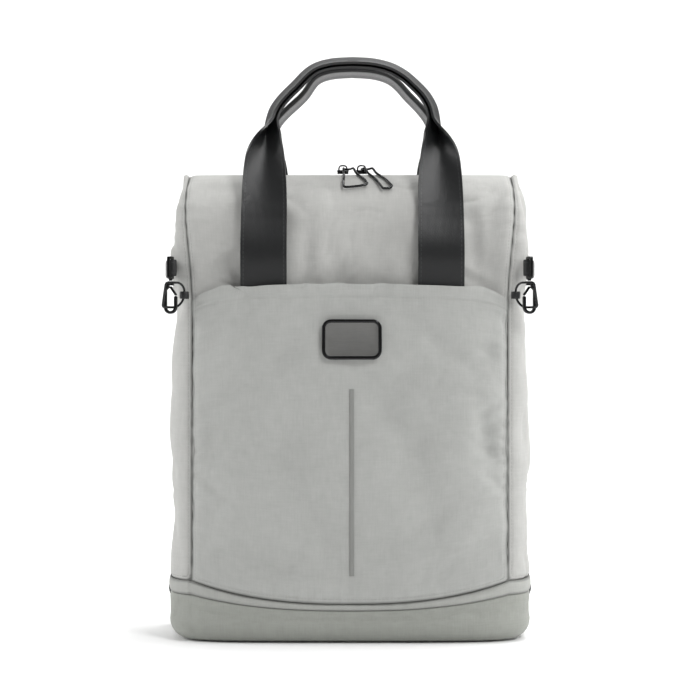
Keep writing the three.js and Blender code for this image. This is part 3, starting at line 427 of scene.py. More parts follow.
class Finishes:
    """Every finish of the bag, each made once and paired with the name of its slot."""

    def __init__(self) -> None:
        """Builds the materials."""
        self.sewn = self._made("cloth", Nylon("nylon_sewn", srgb(185, 185, 182), srgb(171, 171, 168), 3.4))
        # The pocket's and the base's nylon are the sewn nylon made darker, the base's the most: partly the cloth's
        # own tone, partly painted shade.
        self.slip = self._made("cloth", Nylon("nylon_pocket", srgb(176, 177, 174), srgb(161, 162, 159), 3.4))
        self.base = self._made("cloth", Nylon("nylon_base", srgb(158, 160, 154), srgb(143, 145, 139)))
        self.band = self._made("cloth_deep", Nylon("nylon_band", srgb(171, 172, 168), srgb(157, 158, 154), 1.6))
        self.pad = self._made("cloth_deep", Nylon("pad_cloth", srgb(172, 173, 169), srgb(158, 159, 155)))
        dark, light = srgb(13, 14, 15), srgb(27, 28, 29)
        self.handle = self._made("webbing", Webbing("webbing_38", dark, light, 19.0))
        self.narrow = self._made("webbing", Webbing("webbing_14", dark, light, 6.75, 0.8))
        self.tail = self._made("webbing", Webbing("webbing_20", dark, light, 10.0))
        self.thread = self._made("webbing", Moulded("stitch_thread", srgb(74, 75, 76), srgb(98, 99, 100), 0.6))
        self.stripe = self._made("stripe", Knit("stripe_tape", srgb(146, 147, 144), srgb(133, 134, 131), 0.9))
        self.tape = self._made("zip", Knit("zip_tape", srgb(128, 129, 127), srgb(104, 105, 103), 1.1))
        self.coil = self._made("zip", Moulded("zip_coil", srgb(44, 45, 46), srgb(58, 59, 60), 0.4))
        metal = Metal("gunmetal", srgb(14, 15, 16), srgb(40, 41, 43), 0.18, 0.85, 0.0, 0.5)
        self.metal = self._made("metal", metal)
        plate = Metal("brushed_plate", srgb(104, 104, 102), srgb(136, 136, 134), 0.42, 0.7, 2200.0)
        self.plate = self._made("plate", plate)
        self.plastic = self._made("plastic", Moulded("buckle_plastic", srgb(34, 35, 37), srgb(44, 45, 47)))
        self.binding = self._made("cloth_deep", Knit("pad_binding", srgb(150, 151, 148), srgb(126, 127, 124), 1.6))

    def _made(self, slot: str, finish: Nylon | Webbing | Metal | Moulded | Knit) -> Finish:
        """Returns a finish's material with its slot's name."""
        return finish.material(), slot


class Bench:
    """Makes, places and finishes pieces."""

    @staticmethod
    def take(piece: Piece | None = None) -> None:
        """Leaves edit mode and makes a piece, or nothing, the only selected one."""
        if bpy.context.object is not None and bpy.context.object.mode != "OBJECT":
            bpy.ops.object.mode_set(mode="OBJECT")
        bpy.ops.object.select_all(action="DESELECT")
        if piece is not None:
            piece.select_set(True)
            bpy.context.view_layer.objects.active = piece

    @staticmethod
    def pick(piece: Piece, kind: str, test: Callable[[Vector], bool]) -> None:
        """Opens a piece for editing with some of its faces, edges or points selected.

        Args:
            piece: The piece.
            kind: FACE, EDGE or VERT.
            test: Says of a face's or an edge's middle, or of a point, in millimetres, whether it is taken.
        """
        Bench.take(piece)
        bpy.ops.object.mode_set(mode="EDIT")
        bpy.ops.mesh.select_mode(type=kind)
        bpy.ops.mesh.select_all(action="DESELECT")
        bpy.ops.object.mode_set(mode="OBJECT")
        mesh = piece.data
        if kind == "FACE":
            for face in mesh.polygons:
                face.select = test(face.center / MM)
        elif kind == "EDGE":
            for edge in mesh.edges:
                ends = [mesh.vertices[k].co for k in edge.vertices]
                edge.select = test((ends[0] + ends[1]) / 2 / MM)
        else:
            for point in mesh.vertices:
                point.select = test(point.co / MM)
        bpy.ops.object.mode_set(mode="EDIT")

    @staticmethod
    def shut(piece: Piece) -> Piece:
        """Closes editing with all faces outward and returns the piece."""
        bpy.ops.mesh.select_all(action="SELECT")
        bpy.ops.mesh.normals_make_consistent(inside=False)
        bpy.ops.object.mode_set(mode="OBJECT")
        return piece

    @staticmethod
    def modify(piece: Piece, kind: str, **settings: float | str | bool) -> Piece:
        """Adds a modifier, applies it and returns the piece."""
        Bench.take(piece)
        modifier = piece.modifiers.new(kind.lower(), kind)
        for key, value in settings.items():
            setattr(modifier, key, value)
        bpy.ops.object.modifier_apply(modifier=modifier.name)
        return piece

    @staticmethod
    def place(piece: Piece, frame: Matrix | None = None) -> Piece:
        """Moves a piece's own place, and then a further one, into its mesh.

        Args:
            piece: The piece.
            frame: The further placing, with its shift in metres.

        Returns:
            The piece, at the origin.
        """
        piece.data.transform((frame or Matrix.Identity(4)) @ piece.matrix_basis)
        piece.matrix_basis = Matrix.Identity(4)
        piece.data.update()
        return piece

    @staticmethod
    def soften(piece: Piece, degrees: float = 40.0) -> Piece:
        """Shades a piece smooth up to an angle between faces and returns it."""
        Bench.take(piece)
        bpy.ops.object.shade_smooth_by_angle(angle=math.radians(degrees))
        return piece

    @staticmethod
    def join(pieces: Sequence[Piece]) -> Piece:
        """Joins pieces into the first one and returns it."""
        Bench.take(pieces[0])
        for piece in pieces:
            piece.select_set(True)
        bpy.ops.object.join()
        return pieces[0]

    @staticmethod
    def mesh(points: Grid, faces: Grid) -> Piece:
        """Makes a mesh object.

        Args:
            points: The points in millimetres, one row each.
            faces: The faces' corners, one row each.

        Returns:
            The object.
        """
        data = bpy.data.meshes.new("piece")
        data.from_pydata((np.asarray(points, float) * MM).tolist(), [], np.asarray(faces).tolist())
        piece = bpy.data.objects.new("piece", data)
        bpy.context.scene.collection.objects.link(piece)
        return piece

    @staticmethod
    def points(piece: Piece) -> Grid:
        """Returns a piece's points in metres, one row each."""
        return np.array([vertex.co for vertex in piece.data.vertices])

    @staticmethod
    def move(piece: Piece, points: Grid) -> None:
        """Moves a piece's points to places in metres, one row each."""
        piece.data.vertices.foreach_set("co", points.ravel())
        piece.data.update()

    @staticmethod
    def corners(piece: Piece) -> Grid:
        """Returns the number of the vertex at each corner of a piece's faces."""
        corner = np.zeros(len(piece.data.loops), np.int32)
        piece.data.loops.foreach_get("vertex_index", corner)
        return corner

    @staticmethod
    def mapped(piece: Piece, name: str, values: Grid) -> None:
        """Gives a piece a map from one pair of numbers for each vertex, in metres."""
        layer = piece.data.uv_layers.new(name=name)
        layer.data.foreach_set("uv", np.asarray(values, float)[Bench.corners(piece)].ravel())

    @staticmethod
    def path(
        points: Sequence[Sequence[float]], dimensions: str, radius: float, sides: int, closed: bool = True
    ) -> bpy.types.Curve:
        """Makes a curve of straight steps.

        Args:
            points: Its points, in metres.
            dimensions: 2D or 3D.
            radius: The radius of its bevel, in millimetres.
            sides: How finely the bevel is rounded.
            closed: Whether it is a loop.

        Returns:
            The curve.
        """
        curve = bpy.data.curves.new("path", "CURVE")
        curve.dimensions = dimensions
        spline = curve.splines.new("POLY")
        spline.points.add(len(points) - 1)
        for knot, point in zip(spline.points, points):
            knot.co = (*point, 1.0)
        spline.use_cyclic_u = closed
        curve.bevel_depth = radius * MM
        curve.bevel_resolution = sides
        return curve

    @staticmethod
    def wire(
        points: Iterable[Sequence[float]], radius: float, closed: bool = True, sides: int = 3
    ) -> Piece:
        """Bends a round wire along a line.

        Args:
            points: The line's points, in millimetres.
            radius: The wire's radius, in millimetres.
            closed: Whether the line is a loop.
            sides: How finely the wire is rounded.

        Returns:
            The wire as a mesh.
        """
        curve = Bench.path([Vector(point) * MM for point in points], "3D", radius, sides, closed)
        curve.use_fill_caps = not closed
        return Bench.from_curve(curve)

    @staticmethod
    def plate(outline: Sequence[Sequence[float]], thickness: float, bevel: float) -> Piece:
        """Cuts a flat plate with rounded edges from an outline in the plane of X and Y.

        Args:
            outline: The plate's outline, in millimetres.
            thickness: The plate's thickness, with its middle at 0.
            bevel: The radius of its edges.

        Returns:
            The plate as a mesh.
        """
        curve = Bench.path([(x * MM, y * MM, 0.0) for x, y in outline], "2D", bevel, 2)
        curve.fill_mode = "BOTH"
        curve.extrude = (thickness / 2 - bevel) * MM
        curve.offset = -bevel * MM
        return Bench.modify(Bench.from_curve(curve), "WELD", merge_threshold=1e-6)

    @staticmethod
    def from_curve(curve: bpy.types.Curve) -> Piece:
        """Turns a curve into a mesh object and returns it."""
        piece = bpy.data.objects.new("piece", curve)
        bpy.context.scene.collection.objects.link(piece)
        Bench.take(piece)
        bpy.ops.object.convert(target="MESH")
        return bpy.context.view_layer.objects.active

    @staticmethod
    def tile(width: float, height: float, radius: float, arc: int = 8) -> Piece:
        """Adds a flat rounded rectangle at the origin, open for editing with its face selected.

        Args:
            width: Its breadth along X.
            height: Its breadth along Y.
            radius: Its corners' radius.
            arc: The faces round each corner.

        Returns:
            The tile.
        """
        Bench.take()
        bpy.ops.mesh.primitive_plane_add(size=MM)
        piece = bpy.context.object
        piece.scale = (width, height, 1)
        bpy.ops.object.transform_apply(location=False, rotation=False, scale=True)
        bpy.ops.object.mode_set(mode="EDIT")
        bpy.ops.mesh.select_all(action="SELECT")
        bpy.ops.mesh.bevel(offset=radius * MM, segments=arc, affect="VERTICES")
        bpy.ops.mesh.select_all(action="SELECT")
        return piece

    @staticmethod
    def border(width: float, height: float, radius: float, bar: float, depth: float, bevel: float) -> Piece:
        """Shapes a rounded rectangular frame, middled at the origin.

        Args:
            width: Its breadth along X.
            height: Its breadth along Y.
            radius: Its outer corners' radius.
            bar: The breadth of its bar.
            depth: Its depth along Z.
            bevel: The radius of its edges.

        Returns:
            The frame.
        """
        piece = Bench.tile(width, height, radius)
        bpy.ops.mesh.inset(thickness=bar * MM)
        bpy.ops.mesh.delete(type="FACE")
        bpy.ops.mesh.select_all(action="SELECT")
        bpy.ops.mesh.extrude_region_move(TRANSFORM_OT_translate={"value": (0, 0, depth * MM)})
        Bench.shut(piece)
        piece.location.z = -depth / 2 * MM
        Bench.place(piece)
        return Bench.modify(piece, "BEVEL", width=bevel * MM, segments=3, limit_method="ANGLE", angle_limit=0.9)

    @staticmethod
    def dress(
        piece: Piece, finish: Finish, node: str = "", body: str = "root", name: str = ""
    ) -> Piece:
        """Gives a piece its name, its material, its body and the node that it stands for.

        Args:
            piece: The piece, in its place.
            finish: The material and its slot's name.
            node: The frame's node that it replaces.
            body: The body that it rides on.
            name: Its name, where it stands for no node.

        Returns:
            The piece.
        """
        material, slot = finish
        piece.name = piece.data.name = name or f"{node}_dressed"
        piece.data.materials.clear()
        piece.data.materials.append(material)
        if node:
            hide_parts(node)
        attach(piece, body)
        log.info("%s: %d faces", piece.name, len(piece.data.polygons))
        return piece

    @staticmethod
    def pair(piece: Piece) -> tuple[tuple[Side, Piece], ...]:
        """Returns a left piece's copy on the right, with a mesh of its own, and the piece, with their sides."""
        copy = bpy.data.objects.new("piece", piece.data.copy())
        bpy.context.scene.collection.objects.link(copy)
        copy.data.transform(Matrix.Scale(-1.0, 4, (1.0, 0.0, 0.0)))
        copy.data.flip_normals()
        return (Side.RIGHT, copy), (Side.LEFT, piece)


def rounded(width: float, height: float, radius: float, arc: int = 6) -> list[tuple[float, float]]:
    """Draws a rectangle with round corners.

    Args:
        width: Its width.
        height: Its height.
        radius: The corners' radius.
        arc: The steps in each corner.

    Returns:
        The points of its outline.
    """
    x, y = width / 2 - radius, height / 2 - radius
    points = []
    for corner, (cx, cy) in enumerate(((x, y), (-x, y), (-x, -y), (x, -y))):
        for step in range(arc + 1):
            angle = math.radians(90 * (corner + step / arc))
            points.append((cx + radius * math.cos(angle), cy + radius * math.sin(angle)))
    return points


def flowing(points: Sequence[Sequence[float]], count: int, closed: bool = False) -> Grid:
    """Draws a smooth line through points.

    Args:
        points: The points that it passes.
        count: The number of its own points.
        closed: Whether it returns to its first point.

    Returns:
        The line's points, evenly spaced.
    """
    knots = np.asarray(points, float)
    around = np.concatenate((knots[-1:], knots, knots[:2])) if closed else np.pad(knots, ((1, 1), (0, 0)), "edge")
    spans = len(around) - 3
    at = np.linspace(0, spans, 40 * spans + 1)
    row = np.minimum(at.astype(int), spans - 1)
    part = (at - row)[:, None]
    a, b, c, d = (around[row + k] for k in range(4))
    line = b + 0.5 * part * (c - a + part * (2 * a - 5 * b + 4 * c - d + part * (3 * (b - c) + d - a)))
    reach = run_of(line)
    wanted = np.linspace(0, reach[-1], count + 1)[:-1] if closed else np.linspace(0, reach[-1], count)
    return np.stack([np.interp(wanted, reach, line[:, k]) for k in range(line.shape[1])], -1)


@dataclass
class Slab:
    """A sheet of cloth with a thickness, between an outer and an inner grid of points.

    Its map "cloth" is across and up, and "seam" is the distance from the nearest sewn edge and the run along
    it, where seams holds the letters of those edges: l, r, b and t.
    """

    outer: Grid
    inner: Grid
    closed: bool = False
    seams: str = ""
    start: float = 0.0

    def build(self) -> Piece:
        """Makes the sheet's mesh with its two maps and returns it."""
        rows, columns = self.outer.shape[:2]
        index = np.arange(2 * rows * columns).reshape(2, rows, columns)
        if self.closed:
            index = np.concatenate((index, index[:, :, :1]), axis=2)
        front, back = index
        quads = [self.quads(front), self.quads(back)[:, ::-1]]
        quads.append(np.stack((back[0, :-1], back[0, 1:], front[0, 1:], front[0, :-1]), -1))
        quads.append(np.stack((front[-1, :-1], front[-1, 1:], back[-1, 1:], back[-1, :-1]), -1))
        if not self.closed:
            quads.append(np.stack((front[:-1, 0], front[1:, 0], back[1:, 0], back[:-1, 0]), -1))
            quads.append(np.stack((back[:-1, -1], back[1:, -1], front[1:, -1], front[:-1, -1]), -1))
        points = np.concatenate((self.outer.reshape(-1, 3), self.inner.reshape(-1, 3)))
        piece = Bench.mesh(points, np.concatenate(quads))
        self._map(piece)
        return Bench.soften(piece, 60.0)

    @staticmethod
    def quads(grid: Grid) -> Grid:
        """Returns the faces of one grid of point numbers."""
        corners = (grid[:-1, :-1], grid[:-1, 1:], grid[1:, 1:], grid[1:, :-1])
        return np.stack(corners, -1).reshape(-1, 4)

    def _map(self, piece: Piece) -> None:
        """Adds the two maps to the mesh."""
        rows, columns = self.outer.shape[:2]
        u, v = np.meshgrid(run_of(self.outer[rows // 2]) + self.start, run_of(self.outer[:, columns // 2]))
        Bench.mapped(piece, "cloth", np.tile(np.stack((u, v), -1).reshape(-1, 2) * MM, (2, 1)))
        edges = {"l": (u - u.min(), v), "r": (u.max() - u, v), "b": (v - v.min(), u), "t": (v.max() - v, u)}
        sewn = [edges[key] for key in self.seams] or [(np.full_like(u, 1000.0), v)]
        near = np.argmin([pair[0] for pair in sewn], axis=0)
        inset = np.choose(near, [pair[0] for pair in sewn])
        run = np.choose(near, [pair[1] for pair in sewn])
        Bench.mapped(piece, "seam", np.tile(np.stack((inset, run), -1).reshape(-1, 2) * MM, (2, 1)))


@dataclass(frozen=True)
class Level:
    """A level section of the body.

    height is a share of the body's height; front and back are the faces' distances before and behind the
    middle, shares of the depth; side is the half width and the seams are where the side panels begin, shares of
    half the width; square is how boxy the section is; tuck is how far the side folds in, a share of the depth.
    """

    height: float
    front: float
    back: float
    side: float
    front_seam: float
    back_seam: float
    square: float
    tuck: float


@dataclass(frozen=True)
class Fold:
    """A dent in the cloth of a face.

    across and up are its middle, shares of the panel's breadth and of the body's height; long and broad are its
    size, shares of the height; lean is its turn from upright in degrees; depth is a share of the body's depth.
    """

    across: float
    up: float
    long: float
    broad: float
    lean: float
    depth: float


LEVELS = (
    Level(0.0, 0.494, 0.487, 0.993, 0.856, 0.86, 4.5, 0.0),
    Level(0.077, 0.496, 0.49, 0.997, 0.86, 0.86, 4.5, 0.0),
    Level(0.15, 0.478, 0.493, 0.999, 0.862, 0.862, 4.5, 0.0),
    Level(0.3, 0.457, 0.493, 1.0, 0.862, 0.865, 4.6, 0.0),
    Level(0.49, 0.439, 0.493, 0.999, 0.862, 0.868, 4.8, 0.0),
    Level(0.66, 0.428, 0.49, 0.99, 0.862, 0.87, 5.0, 0.0),
    Level(0.753, 0.421, 0.478, 1.0, 0.865, 0.873, 5.2, 0.01),
    Level(0.838, 0.411, 0.443, 1.01, 0.884, 0.88, 5.6, 0.03),
    Level(0.9, 0.386, 0.372, 1.004, 0.9, 0.888, 6.0, 0.07),
    Level(0.946, 0.325, 0.28, 0.98, 0.905, 0.89, 6.0, 0.1),
    Level(0.981, 0.225, 0.16, 0.948, 0.9, 0.895, 6.0, 0.07),
    Level(1.0, 0.125, 0.01, 0.932, 0.892, 0.892, 6.0, 0.01),
)

# The folds of the solids come first in each face, then the lesser ones that only the cloth has.
FOLDS = {
    Face.FRONT: (
        Fold(0.07, 0.775, 0.07, 0.03, 60, 0.03),
        Fold(0.16, 0.765, 0.05, 0.022, -35, 0.022),
        Fold(0.93, 0.79, 0.06, 0.028, -50, 0.028),
        Fold(0.3, 0.9, 0.09, 0.03, 12, 0.008),
        Fold(0.1, 0.8, 0.04, 0.01, 50, 0.02),
        Fold(0.12, 0.755, 0.035, 0.009, -60, 0.022),
        Fold(0.37, 0.83, 0.08, 0.018, 6, 0.018),
        Fold(0.46, 0.8, 0.06, 0.022, -14, 0.014),
        Fold(0.6, 0.8, 0.07, 0.022, 10, 0.018),
        Fold(0.66, 0.85, 0.07, 0.016, -4, 0.016),
        Fold(0.88, 0.86, 0.07, 0.014, -8, 0.02),
        Fold(0.9, 0.765, 0.05, 0.012, -64, 0.024),
        Fold(0.14, 0.88, 0.07, 0.016, 14, 0.02),
    ),
    Face.LEFT: (
        Fold(0.86, 0.71, 0.05, 0.03, 70, 0.03),
        Fold(0.8, 0.9, 0.1, 0.02, 4, 0.02),
        Fold(0.5, 0.42, 0.2, 0.05, 3, 0.016),
        Fold(0.84, 0.8, 0.04, 0.01, 40, 0.016),
        Fold(0.7, 0.55, 0.09, 0.02, -12, 0.01),
    ),
    Face.RIGHT: (
        Fold(0.14, 0.73, 0.05, 0.03, -60, 0.034),
        Fold(0.24, 0.88, 0.06, 0.024, -22, 0.03),
        Fold(0.5, 0.4, 0.22, 0.05, -3, 0.016),
        Fold(0.16, 0.83, 0.04, 0.01, 35, 0.016),
        Fold(0.3, 0.55, 0.09, 0.02, 12, 0.01),
    ),
    Face.BACK: (
        Fold(0.5, 0.55, 0.34, 0.06, 0, 0.02),
        Fold(0.2, 0.3, 0.12, 0.03, 24, 0.012),
        Fold(0.82, 0.34, 0.12, 0.03, -20, 0.012),
    ),
    Face.POCKET: (
        Fold(0.1, 0.165, 0.08, 0.024, 72, 0.026),
        Fold(0.93, 0.43, 0.08, 0.024, -16, 0.02),
        Fold(0.05, 0.62, 0.05, 0.022, 50, 0.014),
        Fold(0.16, 0.135, 0.12, 0.014, 76, 0.026),
        Fold(0.95, 0.5, 0.05, 0.011, 66, 0.02),
        Fold(0.95, 0.455, 0.055, 0.011, 80, 0.022),
        Fold(0.955, 0.4, 0.05, 0.011, -72, 0.02),
        Fold(0.96, 0.34, 0.04, 0.011, -60, 0.016),
        Fold(0.04, 0.48, 0.05, 0.012, 64, 0.018),
        Fold(0.045, 0.34, 0.06, 0.012, -58, 0.018),
        Fold(0.3, 0.42, 0.2, 0.05, 8, 0.018),
        Fold(0.74, 0.3, 0.18, 0.045, -10, 0.018),
        Fold(0.6, 0.5, 0.16, 0.03, -38, 0.016),
        Fold(0.8, 0.62, 0.1, 0.022, -56, 0.016),
        Fold(0.28, 0.6, 0.12, 0.026, 40, 0.012),
        Fold(0.66, 0.22, 0.14, 0.026, 62, 0.014),
        Fold(0.4, 0.24, 0.16, 0.03, -30, 0.012),
    ),
}


class Table:
    """Rows whose columns run on smooth curves from the first row to the last."""

    def __init__(self, rows: Sequence[object]) -> None:
        """Keeps the rows by column."""
        self.size = len(rows)
        self.columns = {f.name: np.array([getattr(row, f.name) for row in rows]) for f in fields(rows[0])}

    def at(self, column: str, level: Grid | float) -> Grid:
        """Returns a column's value at a level from 0, the first row, to 1, the last."""
        values = self.columns[column]
        at = np.clip(level, 0, 1) * (self.size - 1)
        row = np.minimum(np.floor(at).astype(int), self.size - 2)
        part = at - row
        a, b, c, d = (values[np.clip(row + k, 0, self.size - 1)] for k in (-1, 0, 1, 2))
        curve = 2 * a - 5 * b + 4 * c - d + part * (3 * (b - c) + d - a)
        return b + 0.5 * part * (c - a + part * curve)


@dataclass
class BagForm:
    """The body's outside form, which every other piece is placed by.

    A turn runs round the body: 0 to 1 across the front from left to right, 1 to 2 back along the right side, 2
    to 3 across the back and 3 to 4 forward along the left side. A level runs from 0, the floor, to 1, the ridge.
    """

    width: float = 304.0
    depth: float = 140.0
    height: float = 388.0
    cloth: float = 2.0
    gap: float = 0.4
    floor_radius: float = 16.0
    seam_front: float = 27.0
    seam_corner: float = 39.0
    seam_back: float = 46.0
    band_front: float = 5.5
    band_side: float = 11.5
    table: Table = field(default_factory=lambda: Table(LEVELS))

    def __post_init__(self) -> None:
        """Prepares the heights of the levels."""
        self.levels = np.linspace(0, 1, 2001)
        self.heights = self.table.at("height", self.levels) * self.height

    def level_at(self, height: Grid | float) -> Grid:
        """Returns the level that lies at a height above the floor."""
        return np.interp(height, self.heights, self.levels)

    def dents(self, face: Face, share: Grid, breadth: Grid | float, height: Grid) -> Grid:
        """Returns how deep the folds dent a face at places across it and heights."""
        total = np.zeros(np.broadcast(share, height).shape)
        for fold in FOLDS[face]:
            lean = math.radians(fold.lean)
            sideways = (share - fold.across) * breadth
            upward = height - fold.up * self.height
            along = (sideways * math.sin(lean) + upward * math.cos(lean)) / (fold.long * self.height)
            over = (sideways * math.cos(lean) - upward * math.sin(lean)) / (fold.broad * self.height)
            total += fold.depth * self.depth * np.exp(-along * along - over * over)
        return total * (1 - np.abs(2 * share - 1) ** 10)

    def point(self, turn: Grid | float, level: Grid | float, taut: bool = False) -> Grid:
        """Finds points of the body's outside.

        Args:
            turn: The turns round the body.
            level: The levels up it.
            taut: Whether the side panels' tucks and dents are left out.

        Returns:
            The points.
        """
        turn, level = np.broadcast_arrays(np.asarray(turn, float), np.asarray(level, float))
        around = np.mod(turn, 4.0)
        face = np.floor(around)
        share = around - face
        row = {f.name: self.table.at(f.name, level) for f in fields(Level)}
        height = row["height"] * self.height
        half = (row["front"] + row["back"]) * self.depth / 2
        middle = (row["back"] - row["front"]) * self.depth / 2
        side = row["side"] * self.width / 2
        square = row["square"]

        def rest(ratio: Grid) -> Grid:
            """Returns the other part of a point of the section's boxy oval."""
            return (1 - np.minimum(np.abs(ratio), 1) ** square) ** (1 / square)

        front, back = row["front_seam"] * self.width / 2, row["back_seam"] * self.width / 2
        spread = share * 2 - 1
        front_y = middle - half * rest(front * spread / side) + self.dents(Face.FRONT, share, 2 * front, height)
        back_y = middle + half * rest(back * spread / side) - self.dents(Face.BACK, share, 2 * back, height)
        backward = np.where(face == 1, share, 1 - share)
        across = blend(-rest(front / side), rest(back / side), backward)
        inward = hump(2 * backward - 1, 0.36) * row["tuck"] * self.depth
        dents = [self.dents(which, share, 2 * half, height) for which in (Face.RIGHT, Face.LEFT)]
        inward = 0.0 if taut else inward + np.where(face == 1, *dents)
        outward = np.where(face == 1, 1.0, -1.0) * (side * rest(across) - inward)
        x = np.select([face == 0, face == 2], [front * spread, -back * spread], outward)
        y = np.select([face == 0, face == 2], [front_y, back_y], middle + half * across)
        return np.stack((x, y, height), -1)

    def normal(self, turn: Grid | float, level: Grid | float) -> Grid:
        """Returns the directions out of the body, the same on both sides of a seam."""
        turn, level = np.broadcast_arrays(np.asarray(turn, float), np.asarray(level, float))
        seam = np.round(turn)
        at = np.where(np.abs(turn - seam) < 0.003, seam, turn)
        across = self.point(at + 0.012, level) - self.point(at - 0.012, level)
        rising = self.point(at, level + 0.012) - self.point(at, level - 0.012)
        return unit(np.cross(across, rising))

    def beside(self, turn: Grid | float, level: Grid | float, distance: Grid | float) -> Grid:
        """Returns points at a distance outside the body, or inside it where that is negative."""
        return self.point(turn, level) + self.normal(turn, level) * np.asarray(distance, float)[..., None]

    def corner_share(self, turn: Grid | float) -> Grid:
        """Returns how near a turn is to the body's corners and sides, from 0 at the front's middle."""
        around = np.mod(turn, 4.0)
        return np.where(around < 1, np.abs(2 * around - 1) ** 2.4, 1.0)

    def seam_height(self, turn: Grid | float) -> Grid:
        """Returns the height of the band's lower edge."""
        around = np.mod(turn, 4.0)
        backward = np.select([around <= 1, around <= 2, around <= 3], [0.0, smooth(around, 1, 2), 1.0], 0.0)
        backward = np.where(around > 3, smooth(4 - around, 0, 1), backward)
        return blend(blend(self.seam_front, self.seam_corner, self.corner_share(turn)), self.seam_back, backward)

    def band_height(self, turn: Grid | float) -> Grid:
        """Returns the height of the band's upper edge."""
        return self.seam_height(turn) + blend(self.band_front, self.band_side, self.corner_share(turn))

    def face_at(self, x: Grid, height: Grid, side: float) -> Grid:
        """Returns where the front, for -1, or the back, for 1, lies at a distance to the right and a height."""
        level = self.level_at(height)
        seam = self.table.at("front_seam" if side < 0 else "back_seam", level) * self.width / 2
        share = 0.5 + np.asarray(x) / (2 * seam)
        return self.point(share if side < 0 else 3 - share, level)[..., 1]


@dataclass(frozen=True)
class Slack:
    """The small relief of slack cloth: soft waves, sharp creases, and puckers and a dip beside its seams."""

    seed: int
    soft: float = 0.5
    crease: float = 1.1
    pucker: float = 0.5
    dip: float = 1.1
    pitch: float = 12.0

    def waves(self, across: Grid, up: Grid) -> Grid:
        """Returns how deep the cloth lies at places in its plane, in millimetres."""
        draw = np.random.default_rng(self.seed)
        soft = np.zeros(np.broadcast(across, up).shape)
        for length in (190.0, 140.0, 105.0, 80.0, 60.0, 45.0):
            for _ in range(2):
                angle, phase = draw.uniform(0, math.pi), draw.uniform(0, 2 * math.pi)
                ahead = across * math.cos(angle) + up * math.sin(angle)
                soft += (length / 190.0) ** 0.6 * np.sin(ahead * 2 * math.pi / length + phase)
        total = self.soft * (1 - soft / 2.2)
        for _ in range(9):
            angle, phase, place = draw.uniform(0, math.pi), draw.uniform(0, 6.3), draw.uniform(0, 6.3)
            length = draw.uniform(120, 220)
            ahead = across * math.cos(angle) + up * math.sin(angle)
            beside = up * math.cos(angle) - across * math.sin(angle)
            line = np.abs(np.sin(ahead * math.pi / length + phase + soft * 0.35))
            shown = np.clip(np.sin(beside * 2 * math.pi / (0.8 * length) + place + soft * 0.3), 0, 1)
            total += self.crease * shown * (1 - line) ** 5
        return total

    def seam(self, distance: Grid, run: Grid) -> Grid:
        """Returns how deep the cloth lies at a distance from a seam and a run along it."""
        draw = np.random.default_rng(self.seed + 7)
        phase = draw.uniform(0, 6.3, 3)
        wander = 1.3 * np.sin(run / 31.0 + phase[0]) + 0.8 * np.sin(run / 13.0 + phase[1])
        swell = 0.55 + 0.45 * np.sin(run / 24.0 + phase[2])
        gather = self.pucker * swell * (0.5 + 0.5 * np.sin(run * 2 * math.pi / self.pitch + wander))
        return self.dip * hump(distance, 2.6) + gather * np.exp(-np.abs(distance) / 11.0)


